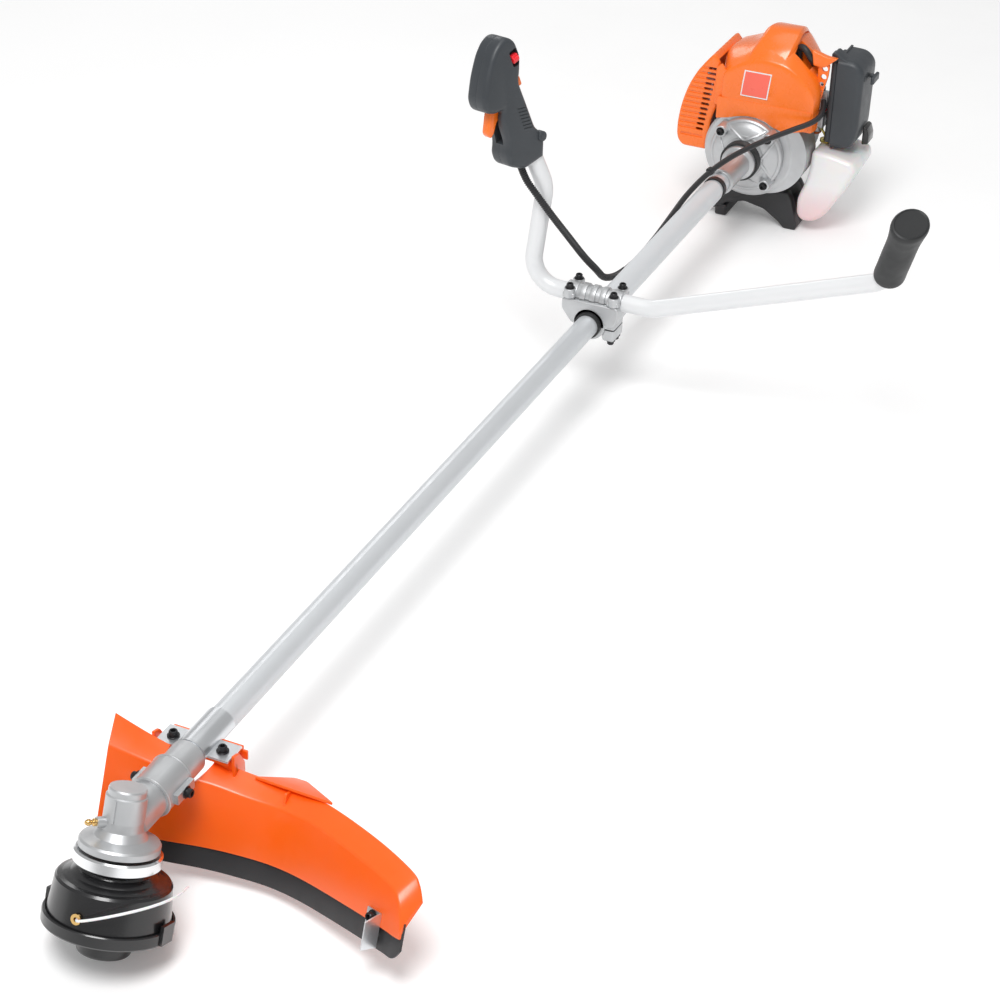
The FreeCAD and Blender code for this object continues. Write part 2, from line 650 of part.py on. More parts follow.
def make_clutch_shoes():
    shoe = ring(33, 12, (1648, 0, 0), X_AXIS, 12)
    split = block(1640, 1670, -3, 3, -40, 40)
    hub = ring(12.5, 6, (1648, 0, 0), X_AXIS, 12)
    halves = shoe.cut(split).fuse(hub)
    pins = [rod(3, (1646.8, side * 22, 0), X_AXIS, 15) for side in (-1, 1)]
    return fuse([halves] + pins)


def make_crankcase():
    fan = turned([(40, 1650.5), (63, 1650.5), (66, 1653), (66, 1694), (62, 1697), (0, 1697), (0, 1692),
                  (61, 1692), (61, 1656), (40, 1656)], (0, 0, 0), X_AXIS)
    volute = rod(62, (1653, -24, 4), X_AXIS, 44).cut(rod(58, (1656, -24, 4), X_AXIS, 36))
    fan = fan.fuse(volute)
    fan = fan.cut(rod(61, (1656, 0, 0), X_AXIS, 36)).cut(rod(58, (1656, -24, 4), X_AXIS, 36))
    fan = fan.cut(rod(40, (1645, 0, 0), X_AXIS, 12))
    bosses = [rod(8, seat + Vector(25.5, 0, 0), X_AXIS, 20).cut(rod(42, (1640, 0, 0), X_AXIS, 60))
              for seat in engine_bolt_seats()]
    case = rod(34, (1697, 0, 0), X_AXIS, 50).fuse(block(1699, 1745, -26, 26, 0, 38))
    body = fuse([fan, case])
    body = body.cut(rod(26, (1703, 0, 0), X_AXIS, 38))
    body = body.cut(rod(BORE_RADIUS + 0.3, (1722, 0, 0), Z_AXIS, 60))
    body = body.cut(rod(7, (1640, 0, 0), X_AXIS, 130))
    return cut(body, [screw_hole(seat, -X_AXIS, 40) for seat in engine_bolt_seats()])


def make_flywheel():
    disc = ring(52, 6, (1676, 0, 0), X_AXIS, 8)
    vanes = []
    for index in range(16):
        vane = block(1667, 1677, 38, 56, -1, 1)
        vane.rotate(Vector(0, 0, 0), X_AXIS, 360 * index / 16)
        vanes.append(vane)
    return fuse([disc, ring(10, 6, (1662, 0, 0), X_AXIS, 15)] + vanes)


def make_crankshaft():
    main = rod(5.95, (1648, 0, 0), X_AXIS, 68)
    rear = rod(5.95, (1728, 0, 0), X_AXIS, 40)
    webs = []
    for start in (1710, 1726):
        web = rod(24, (start, 0, 0), X_AXIS, 7).cut(block(1700, 1740, -30, 30, 9, 30)).fuse(
            rod(8, (start, 0, 0), X_AXIS, 7)).fuse(rod(7, (start, 0, STROKE / 2 - 3), X_AXIS, 7))
        webs.append(web)
    pin = rod(4.5, (1716, 0, STROKE / 2 - 3), X_AXIS, 11)
    return fuse([main, rear, pin] + webs)


def make_piston():
    radius = BORE_RADIUS - CLEARANCE
    body = rod(radius, (1722, 0, 42), Z_AXIS, 30).cut(rod(radius - 3, (1722, 0, 41), Z_AXIS, 25))
    for height in (64, 68):
        body = body.cut(ring(radius + 1, radius - 0.8, (1722, 0, height), Z_AXIS, 1.2))
    pin = rod(4, (1722 - radius + 2, 0, 54), X_AXIS, 2 * radius - 4)
    return fuse([body, pin])


def make_cylinder():
    barrel = rod(23.4, (1722, 0, 38.2), Z_AXIS, 60)
    fins = [rounded_block(1698.6, 1745.4, -37, 37, 46 + 8 * n, 49 + 8 * n, 1.2) for n in range(7)]
    dome = rod(22, (1722, 0, 98), Z_AXIS, 9)
    flange = block(1699, 1745, -28, 28, 38.2, 43)
    inlet = block(1706, 1738, -52, -20, 46, 70)
    outlet = block(1706, 1738, 20, 56, 56, 80)
    barrel = fuse([barrel, dome, flange, inlet, outlet] + fins)
    barrel = barrel.cut(rod(BORE_RADIUS, (1722, 0, 30), Z_AXIS, 59))
    barrel = barrel.cut(rod(8, (1722, -60, 58), Y_AXIS, 45)).cut(rod(8, (1722, 15, 68), Y_AXIS, 50))
    return barrel.cut(rod(6, (1722, 0, 86), Z_AXIS, 30))


def make_spark_plug():
    plug = turned([(0, 91), (5.95, 91), (5.95, 107.2), (9, 107.2), (9, 115), (5, 117), (5, 132), (0, 132)],
                  (1722, 0, 0))
    lead = [Vector(1722, -2, 139), Vector(1712, -24, 141), Vector(1700, -44, 136), Vector(1692, -56, 122)]
    profile = [(5.1, 118), (8.5, 118), (8.5, 142), (6, 145), (0, 145), (0, 132.2), (5.1, 132.2)]
    boot = turned(profile, (1722, 0, 0))
    wire, length = swept([Vector(1722, -8, 140)] + lead[1:], [12, 12], 3.5)
    return Part.makeCompound([plug, boot.fuse(wire)])


def hollow(outer_sections, inner_sections):
    outer = Part.makeLoft(outer_sections, True, True)
    inner = Part.makeLoft(inner_sections, True, True)
    return outer.cut(inner)


def yz_section(x, corners):
    points = [Vector(x, y, z) for y, z in corners]
    return Part.makePolygon(points + points[:1])


SHROUD_SECTIONS = [
    (1652, [(46, 52), (-90, 52), (-90, 98), (-72, 122), (-44, 138), (-10, 142), (22, 132), (46, 112)]),
    (1672, [(52, 52), (-92, 52), (-93, 106), (-74, 130), (-46, 154), (-8, 158), (20, 142), (52, 124)]),
    (1700, [(58, 48), (-84, 48), (-84, 112), (-70, 134), (-46, 172), (-6, 172), (16, 149), (58, 132)]),
    (1745, [(58, 44), (-78, 44), (-78, 112), (-66, 130), (-44, 166), (-8, 166), (16, 146), (58, 130)]),
    (1762, [(56, 44), (-74, 44), (-74, 106), (-62, 124), (-42, 154), (-10, 154), (16, 136), (56, 122)])]


def shrunk(corners, amount):
    """An outline moved inwards by a wall thickness, towards its middle."""
    middle_y = sum(y for y, z in corners) / len(corners)
    middle_z = sum(z for y, z in corners) / len(corners)
    result = []
    for y, z in corners:
        reach = ((y - middle_y) ** 2 + (z - middle_z) ** 2) ** 0.5
        result.append((y - (y - middle_y) * amount / reach, z - (z - middle_z) * amount / reach))
    return result


def make_shroud():
    outer = [yz_section(x, corners) for x, corners in SHROUD_SECTIONS]
    inner = [yz_section(x, shrunk(corners, 4)) for x, corners in SHROUD_SECTIONS]
    inner[0] = yz_section(SHROUD_SECTIONS[0][0] + 3, shrunk(SHROUD_SECTIONS[0][1], 4))
    inner.append(yz_section(1790, shrunk(SHROUD_SECTIONS[-1][1], 4)))
    shell = hollow(outer, inner)
    shell = shell.cut(block(1655, 1800, -80, 52, 30, 56))
    shell = shell.cut(block(1640, 1656.5, -88, 42, 40, 56))
    shell = shell.cut(rod(69, (1640, 0, 0), X_AXIS, 60)).cut(rod(65, (1650, -24, 4), X_AXIS, 50))
    plug_window = prism([(1676, -100, 122), (1708, -100, 122), (1708, -100, 160), (1676, -100, 146)],
                        (0, 60, 0))
    carburettor_bay = block(1688, 1800, -100, -54, 30, 120)
    muffler_side = block(1676, 1800, 40, 80, 30, 114)
    return cut(shell, [plug_window, carburettor_bay, muffler_side])


def make_muffler():
    can = rounded_block(1686, 1748, 67, 94, 6, 82, 8)
    pipe = rod(9, (1722, 56.2, 68), Y_AXIS, 14)
    room = rounded_block(1688, 1746, 69, 92, 8, 80, 6)
    return fuse([can, pipe]).cut(room).cut(rod(6, (1722, 50, 68), Y_AXIS, 30))


# The muffler cover's barrel-shaped outer side, then the side that faces the shroud, as (y, z)
COVER_OUTER = [(109, -6), (112.5, 4), (112.5, 22), (110, 42), (105.5, 62), (98, 84), (87.5, 104), (75, 121),
               (66, 132)]
COVER_INNER = [(65, 132), (60, 124), (60, 60), (67, 36), (67, -12), (102, -12)]


def make_muffler_cover():
    outer = prism([(1658, y, z) for y, z in COVER_OUTER + COVER_INNER], (102, 0, 0))
    front = [edge for edge in outer.Edges if edge.BoundBox.XMax < 1658.01 and edge.BoundBox.YMin > 67.5]
    outer = outer.makeFillet(4, front)
    room = [(y - 3.2, z) for y, z in COVER_OUTER[:-1]] + [(63, 128), (50, 120), (50, -9), (104, -9)]
    cover = outer.cut(prism([(1661, y, z) for y, z in room], (96, 0, 0)))
    lip = prism([(1658, y, z) for y, z in ((61, 126), (54, 112), (54, 64), (61, 60))], (3, 0, 0))
    cover = cover.fuse(lip)
    slots = []
    for index in range(13):
        height = 16 + index * 7.8
        right = 56 + (114 - height) * 0.172
        left = 70 + (114 - height) * 0.16
        slots.append(block(1650, 1668, right, left, height, height + 4.5))
        slots.append(block(1676, 1746, left + 4, 130, height, height + 4.5))
    return cut(cover, slots)


def make_starter_housing():
    housing = turned([(62, 1763), (66, 1763), (66, 1782), (58, 1792), (30, 1796), (0, 1796), (0, 1793),
                      (29, 1793), (56, 1789), (62, 1781)], (0, 0, 0), X_AXIS)
    flange = ring(66, 34.3, (1747.5, 0, 0), X_AXIS, 4)
    wall = ring(66, 62, (1747.5, 0, 0), X_AXIS, 20)
    vents = []
    for index in range(12):
        slot = block(1780, 1800, 34, 50, -2.5, 2.5)
        slot.rotate(Vector(0, 0, 0), X_AXIS, 360 * index / 12)
        vents.append(slot)
    post = rod(4, (1780, 0, 0), X_AXIS, 14)
    tower = block(1764, 1788, -14, 14, 60, 82).cut(block(1767, 1785, -11, 11, 50, 79))
    housing = fuse([housing, wall, flange, tower, post])
    housing = housing.cut(block(1767, 1785, -11, 11, 55, 64))
    housing = cut(housing, vents)
    return housing.cut(rod(3.3, (1776, 0, 56), Z_AXIS, 40))


def make_starter_pulley():
    profile = [(6.3, 1770), (30, 1770), (30, 1771.5), (22, 1772.5), (22, 1779.5), (30, 1780.5), (30, 1782),
               (6.3, 1782)]
    pulley = turned(profile, (0, 0, 0), X_AXIS)
    pawl = block(1768.2, 1770.2, 12, 22, -4, 4)
    return fuse([pulley, pawl]).cut(rod(6.3, (1760, 0, 0), X_AXIS, 40))


def make_starter_handle():
    grip = rounded_block(1767, 1785, -21, 21, 84, 100, 6)
    rope = rod(1.8, (1776, 0, 33), Z_AXIS, 55)
    return fuse([grip, rope])


def make_carburettor():
    body = rounded_block(1702, 1742, -92, -60, 34, 78, 3)
    spacer = block(1704, 1740, -60.2, -52.2, 44, 72)
    top = rod(7, (1722, -78, 77), Z_AXIS, 12)
    screw = rod(2.6, (1703, -84, 66), -X_AXIS, 12)
    bracket = block(1690.1, 1693, -97, -84, 73, 95)
    arm = block(1690.1, 1706, -92, -86, 70, 77)
    primer_collar = ring(9.5, 7.4, (1722, -78, 24), Z_AXIS, 11)
    body = fuse([body, spacer, top, screw, bracket, arm, primer_collar])
    return body.cut(rod(8, (1722, -110, 58), Y_AXIS, 70))


def make_throttle_lever():
    arm = block(1696, 1726, -81, -75, 89.4, 92.4)
    hub = rod(5, (1722, -78, 89.3), Z_AXIS, 6)
    swivel = rod(3.5, (1699, -78, 89), Z_AXIS, 7)
    return fuse([arm, hub, swivel])


def make_primer_bulb():
    bulb = Part.makeSphere(7.2, Vector(1722, -78, 24))
    return bulb.cut(block(1700, 1740, -100, -60, 28.5, 40))


def make_air_filter_base():
    plate = rounded_block(1690, 1746, -108, -98, 20, 142, 4)
    neck = rod(11, (1722, -98.5, 58), Y_AXIS, 6.3)
    arm = rounded_block(1730, 1746, -104, -86, 124, 138, 3)
    return fuse([plate, neck, arm]).cut(rod(8, (1722, -120, 58), Y_AXIS, 40))


def make_air_filter_cover():
    outer = rounded_block(1684, 1752, -147, -90, 15, 148, 12)
    room = rounded_block(1687, 1749, -144, -80, 18, 145, 9)
    cover = outer.cut(room).cut(block(1680, 1770, -108.5, -80, 0, 160))
    hook = prism([(1686, -122, 145), (1686, -108.5, 156), (1686, -102, 154), (1686, -110, 140)], (24, 0, 0))
    return fuse([cover, hook.cut(room)])


def make_choke_lever():
    pivot = rod(3, (1724, -157, 118), Y_AXIS, 9.5)
    arm = rounded_block(1702, 1730, -158, -153, 112.5, 123.5, 2)
    return fuse([pivot, arm])


TANK_SIDE = [(-88, 13), (-118, 11), (-150, 4), (-155, -8), (-134, -54), (-114, -86), (-100, -97), (-82, -98),
             (-74, -90), (-72, -66), (-82, -40), (-87, -18)]


def make_fuel_tank():
    outer = prism([(1668, y, z) for y, z in TANK_SIDE], (92, 0, 0))
    rim = [edge for edge in outer.Edges if abs(edge.BoundBox.XMax - edge.BoundBox.XMin) < 0.01]
    outer = outer.makeFillet(9, rim)
    inner = prism([(1671, y, z) for y, z in shrunk(TANK_SIDE, 4)], (86, 0, 0))
    neck = rod(17, (1762, -100, -40), X_AXIS, 6)
    outer = fuse([outer, neck.fuse(rod(19, (1750, -100, -40), X_AXIS, 12))])
    filler = rod(13, (1740, -100, -40), X_AXIS, 40)
    grommet_hole = rod(4.2, (1712, -96, 0), Z_AXIS, 30)
    return cut(outer, [inner, filler, grommet_hole])


def make_fuel_cap():
    cap = ring(21, 17.2, (1763, -100, -40), X_AXIS, 12).fuse(rod(21, (1768.3, -100, -40), X_AXIS, 7))
    teeth = [rod(2.2, (1763.5, -100 + 21 * cos(n * pi / 6), -40 + 21 * sin(n * pi / 6)), X_AXIS, 11)
             for n in range(12)]
    return fuse([cap] + teeth)


def make_fuel_lines():
    first = [Vector(1709.9, -96, 8), Vector(1709.9, -96, 21), Vector(1709.9, -87, 33.2)]
    second = [Vector(1714.1, -96, 8), Vector(1714.1, -96, 18.5), Vector(1717, -89.5, 24)]
    grommet = fuse([rod(9, (1712, -96, 13.2), Z_AXIS, 3.5), rod(4.1, (1712, -96, 3), Z_AXIS, 15)])
    grommet = cut(grommet, [rod(1.85, (x, -96, 0), Z_AXIS, 30) for x in (1709.9, 1714.1)])
    lines = [swept(route, easy_radii(route), 1.8)[0] for route in (first, second)]
    return Part.makeCompound([grommet] + lines)


def make_engine_stand():
    plate = [(48, -64), (48, -96), (62, -92), (66, -102), (56, -106), (44, -104), (34, -96), (6, -88),
             (-24, -94), (-48, -110), (-56, -116), (-74, -116), (-76, -108), (-64, -70), (-58, -60),
             (-30, -70), (20, -70)]
    stand = prism([(1672, y, z) for y, z in plate], (66, 0, 0))
    foot = block(1672, 1738, 30, 50, -116, -90).cut(rod(8, (1660, 40, -90), X_AXIS, 90))
    stand = fuse([stand, foot])
    tank_room = rod(67, (1660, 0, 0), X_AXIS, 100).fuse(rod(63, (1650, -24, 4), X_AXIS, 60))
    return stand.cut(tank_room)


def make_socket_screws():
    screws = [socket_screw(seat, direction, 9.5) for seat, direction in GEARCASE_SCREWS]
    screws += [socket_screw(seat, Z_AXIS, 20) for seat in GUARD_BOLTS]
    screws += [socket_screw(seat, Z_AXIS, 30) for seat in clamp_bolt_seats()]
    screws += [socket_screw(seat, -Z_AXIS, 15) for seat in lower_clamp_seats()]
    screws += [socket_screw(seat, -X_AXIS, 34) for seat in engine_bolt_seats()]
    spot, out, along = cutter_spot()
    screws.append(head_place(socket_screw(spot + Vector(0, 0, -32) - out * 1.7, -out, 9)))
    return Part.makeCompound(screws)


# ---- every piece ----

parts["gearcase"] = make_gearcase()
parts["shaft_bearings"] = make_bearings()
parts["bevel_gear"] = make_bevel_gear()
parts["output_shaft"] = make_output_shaft()
parts["pinion_shaft"] = make_pinion_shaft()
parts["upper_holder"] = make_upper_holder()
parts["head_housing"] = make_head_housing()
parts["head_cover"] = make_head_cover()
parts["spool"] = make_spool()
parts["line_winding"] = make_line_winding()
parts["bump_knob"] = make_bump_knob()
parts["line_eyelets"] = make_line_eyelets()
parts["cutting_line_front"] = make_cutting_line("cutting_line_front", FRONT_LINE)
parts["cutting_line_rear"] = make_cutting_line("cutting_line_rear", REAR_LINE)
parts["guard"] = make_guard()
parts["guard_skirt"] = make_guard_skirt()
parts["line_cutter"] = make_line_cutter()
parts["guard_bracket"] = make_guard_bracket()
parts["socket_screws"] = make_socket_screws()
parts["main_tube"] = make_main_tube()
parts["tube_sleeve"] = make_tube_sleeve()
parts["drive_shaft"] = make_drive_shaft()
parts["handle_bracket"] = make_handle_bracket()
parts["handle_cap"] = make_handle_cap()
parts["clamp_rubber"] = make_clamp_rubber()
parts["handlebar"] = make_handlebar()
parts["support_grip"] = make_support_grip()
parts["throttle_housing_inner"] = throttle_housing_half(1)
parts["throttle_housing_outer"] = throttle_housing_half(-1)
parts["throttle_trigger"] = make_throttle_trigger()
parts["stop_switch"] = make_stop_switch()
parts["throttle_lock"] = make_throttle_lock()
parts["throttle_cable"] = make_throttle_cable()
parts["cable_ties"] = make_cable_ties()
parts["nose_ring"] = make_nose_ring()
parts["clutch_housing"] = make_clutch_housing()
parts["clutch_drum"] = make_clutch_drum()
parts["clutch_shoes"] = make_clutch_shoes()
parts["crankcase"] = make_crankcase()
parts["flywheel"] = make_flywheel()
parts["crankshaft"] = make_crankshaft()
parts["piston"] = make_piston()
parts["cylinder"] = make_cylinder()
parts["spark_plug"] = make_spark_plug()
parts["shroud"] = make_shroud()
parts["muffler"] = make_muffler()
parts["muffler_cover"] = make_muffler_cover()
parts["starter_housing"] = make_starter_housing()
parts["starter_pulley"] = make_starter_pulley()
parts["starter_handle"] = make_starter_handle()
parts["carburettor"] = make_carburettor()
parts["throttle_lever"] = make_throttle_lever()
parts["choke_lever"] = make_choke_lever()
parts["primer_bulb"] = make_primer_bulb()
parts["air_filter_base"] = make_air_filter_base()
parts["air_filter_cover"] = make_air_filter_cover()
parts["fuel_tank"] = make_fuel_tank()
parts["fuel_cap"] = make_fuel_cap()
parts["fuel_lines"] = make_fuel_lines()
parts["engine_stand"] = make_engine_stand()

os.makedirs("parts", exist_ok=True)
for name, shape in parts.items():
    shape.translate(DRIVE_ORIGIN)
    shape.exportStep(os.path.join("parts", name + ".step"))
    print(name, "solids", len(shape.Solids), "valid", shape.isValid(), "volume", round(shape.Volume))
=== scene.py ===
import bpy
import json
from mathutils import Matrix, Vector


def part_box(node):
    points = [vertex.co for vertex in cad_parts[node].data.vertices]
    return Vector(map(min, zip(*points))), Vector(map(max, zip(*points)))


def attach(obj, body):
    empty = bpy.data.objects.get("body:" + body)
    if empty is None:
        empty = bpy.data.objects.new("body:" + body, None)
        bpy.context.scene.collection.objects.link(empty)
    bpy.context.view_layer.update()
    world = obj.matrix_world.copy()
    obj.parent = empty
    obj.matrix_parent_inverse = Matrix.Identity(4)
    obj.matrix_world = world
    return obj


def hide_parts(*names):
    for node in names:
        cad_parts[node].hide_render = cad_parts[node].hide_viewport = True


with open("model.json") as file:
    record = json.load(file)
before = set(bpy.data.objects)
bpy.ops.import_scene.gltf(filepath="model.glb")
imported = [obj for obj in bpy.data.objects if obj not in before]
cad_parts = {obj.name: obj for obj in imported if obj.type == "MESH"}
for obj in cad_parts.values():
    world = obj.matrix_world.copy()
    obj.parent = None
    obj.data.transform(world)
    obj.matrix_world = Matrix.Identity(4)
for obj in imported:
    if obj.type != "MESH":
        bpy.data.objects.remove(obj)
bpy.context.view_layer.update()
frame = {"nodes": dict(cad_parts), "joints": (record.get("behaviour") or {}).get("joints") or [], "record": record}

import json
from math import atan2, cos, pi, radians, sin

import bmesh
import bpy
from mathutils import Matrix, Vector

# The looks of a petrol string trimmer. Shapes are written in the drive frame, in millimetres: its origin is
# where the tube's axis meets the head's spin axis, +X runs along the tube to the engine, +Z is up.

MM = 0.001
JOINTS = {joint["name"]: joint for joint in frame["joints"]}
ORIGIN = Vector(JOINTS["head_spin"]["pos_m"])
SPIN_AXIS = Vector(JOINTS["head_spin"]["axis"])
HEAD_TILT = atan2(SPIN_AXIS.x, SPIN_AXIS.z)
NODES = frame["nodes"]


def at(point):
    """A point of the drive frame, in millimetres, as a place in the row frame, in metres."""
    return ORIGIN + Vector(point) * MM


def at_head(point):
    """A point of the head's own frame, with its spin axis upright, as a place in the row frame."""
    x, y, z = point
    lean_cos, lean_sin = cos(HEAD_TILT), sin(HEAD_TILT)
    return at((x * lean_cos + z * lean_sin, y, z * lean_cos - x * lean_sin))


# ---- camera, light and floor ----

SENSOR = 36.0
LENS = 82.63
CAMERA_PLACE = (-1282.7, -911.1, 1308.6)
CAMERA_RIGHT = Vector((0.4140, -0.9100, 0.0237))
CAMERA_UP = Vector((0.4739, 0.2377, 0.8479))


def make_camera():
    data = bpy.data.cameras.new("camera")
    data.sensor_width = SENSOR
    data.lens = LENS
    data.clip_end = 50
    camera = bpy.data.objects.new("camera", data)
    bpy.context.scene.collection.objects.link(camera)
    right = CAMERA_RIGHT.normalized()
    up = (CAMERA_UP - right * CAMERA_UP.dot(right)).normalized()
    back = right.cross(up)
    turn = Matrix((right, up, back)).transposed().to_4x4()
    camera.matrix_world = Matrix.Translation(at(CAMERA_PLACE)) @ turn
    bpy.context.scene.camera = camera


def area_light(name, place, aim, size, power):
    """A round lamp at one place, turned towards another; both in metres."""
    data = bpy.data.lights.new(name, "AREA")
    data.shape = "DISK"
    data.size = size
    data.energy = power
    light = bpy.data.objects.new(name, data)
    bpy.context.scene.collection.objects.link(light)
    place = Vector(place)
    light.location = place
    light.rotation_euler = (Vector(aim) - place).to_track_quat("-Z", "Y").to_euler()


def make_studio():
    bpy.context.scene.view_settings.view_transform = "Standard"
    world = bpy.data.worlds.new("studio")
    bpy.context.scene.world = world
    world.use_nodes = True
    sky = world.node_tree.nodes["Background"]
    sky.inputs["Color"].default_value = (1.0, 1.0, 1.0, 1)
    sky.inputs["Strength"].default_value = 0.45
    area_light("key", place=(-2.0, -0.2, 3.4), aim=(0, 0, 0.1), size=1.6, power=92)
    area_light("top", place=(0.6, 0.2, 3.4), aim=(0.4, 0, 0.1), size=2.2, power=17)
    area_light("rim", place=(2.8, 2.4, 2.0), aim=(0.7, 0, 0.1), size=1.4, power=12)
    floor = grid_object("floor", 14.0, 2)
    floor.data.materials.append(floor_material())


def grid_object(name, size, cells):
    mesh = bpy.data.meshes.new(name)
    maker = bmesh.new()
    bmesh.ops.create_grid(maker, x_segments=cells, y_segments=cells, size=size / 2)
    maker.to_mesh(mesh)
    maker.free()
    thing = bpy.data.objects.new(name, mesh)
    bpy.context.scene.collection.objects.link(thing)
    return thing


# ---- materials ----

def shader_of(material):
    return material.node_tree.nodes["Principled BSDF"]


def noise(tree, scale, detail=2.0):
    """Noise over the object's own coordinates."""
    place = tree.nodes.new("ShaderNodeTexCoord")
    texture = tree.nodes.new("ShaderNodeTexNoise")
    texture.inputs["Scale"].default_value = scale
    texture.inputs["Detail"].default_value = detail
    tree.links.new(place.outputs["Object"], texture.inputs["Vector"])
    return texture.outputs["Fac"]


def ramp(tree, source, low, high, start=0.3, end=0.7):
    node = tree.nodes.new("ShaderNodeValToRGB")
    node.color_ramp.elements[0].position = start
    node.color_ramp.elements[1].position = end
    node.color_ramp.elements[0].color = low
    node.color_ramp.elements[1].color = high
    tree.links.new(source, node.inputs["Fac"])
    return node.outputs["Color"]


def spread(tree, source, low, high):
    node = tree.nodes.new("ShaderNodeMapRange")
    node.inputs["From Min"].default_value = 0.3
    node.inputs["From Max"].default_value = 0.7
    node.inputs["To Min"].default_value = low
    node.inputs["To Max"].default_value = high
    tree.links.new(source, node.inputs["Value"])
    return node.outputs["Result"]


def bump(tree, shader, source, strength, distance):
    node = tree.nodes.new("ShaderNodeBump")
    node.inputs["Strength"].default_value = strength
    node.inputs["Distance"].default_value = distance
    tree.links.new(source, node.inputs["Height"])
    tree.links.new(node.outputs["Normal"], shader.inputs["Normal"])


def finish_material(name, colour, rough, tone=0.08, tone_scale=14, grain_scale=900, grain=0.12, depth=0.0002,
                    metallic=0.0, coat=0.0, coat_rough=0.1, sockets=None):
    """A surface with soft tone changes, uneven gloss and a fine grain."""
    material = bpy.data.materials.new(name)
    material.use_nodes = True
    tree = material.node_tree
    shader = shader_of(material)
    shader.inputs["Metallic"].default_value = metallic
    shader.inputs["Coat Weight"].default_value = coat
    shader.inputs["Coat Roughness"].default_value = coat_rough
    for socket, value in (sockets or {}).items():
        shader.inputs[socket].default_value = value
    low = tuple(max(channel * (1 - tone), 0) for channel in colour) + (1,)
    high = tuple(min(channel * (1 + tone), 1) for channel in colour) + (1,)
    tree.links.new(ramp(tree, noise(tree, tone_scale), low, high), shader.inputs["Base Color"])
    tree.links.new(spread(tree, noise(tree, tone_scale * 5, 4), rough * 0.88, rough * 1.14),
                   shader.inputs["Roughness"])
    bump(tree, shader, noise(tree, grain_scale, 3), grain, depth)
    return material


def floor_material():
    return finish_material("floor_paper", (0.93, 0.93, 0.93), 0.75, tone=0.01, tone_scale=2, grain=0.02,
                           sockets={"Emission Color": (1, 1, 1, 1), "Emission Strength": 0.14})


def tank_material():
    """Milky moulded plastic that glows a little and turns pink towards the bottom, mottled by noise."""
    glow = {"Subsurface Weight": 0.35, "Subsurface Scale": 0.02, "Transmission Weight": 0.12}
    material = finish_material("tank_plastic", (0.93, 0.91, 0.905), 0.32, tone=0.02, grain_scale=500,
                               grain=0.06, coat=0.2, sockets=glow)
    tree = material.node_tree
    place = tree.nodes.new("ShaderNodeTexCoord")
    split = tree.nodes.new("ShaderNodeSeparateXYZ")
    tree.links.new(place.outputs["Object"], split.inputs["Vector"])
    height = tree.nodes.new("ShaderNodeMapRange")
    low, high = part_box("fuel_tank")
    height.inputs["From Min"].default_value = low[2]
    height.inputs["From Max"].default_value = high[2]
    tree.links.new(split.outputs["Z"], height.inputs["Value"])
    mix = tree.nodes.new("ShaderNodeMath")
    mix.operation = "MULTIPLY_ADD"
    mix.inputs[1].default_value = 0.35
    tree.links.new(noise(tree, 18, 2), mix.inputs[0])
    tree.links.new(height.outputs["Result"], mix.inputs[2])
    colours = ramp(tree, mix.outputs["Value"], (0.93, 0.60, 0.62, 1), (0.94, 0.92, 0.915, 1), 0.10, 0.70)
    tree.links.new(colours, shader_of(material).inputs["Base Color"])
    return material


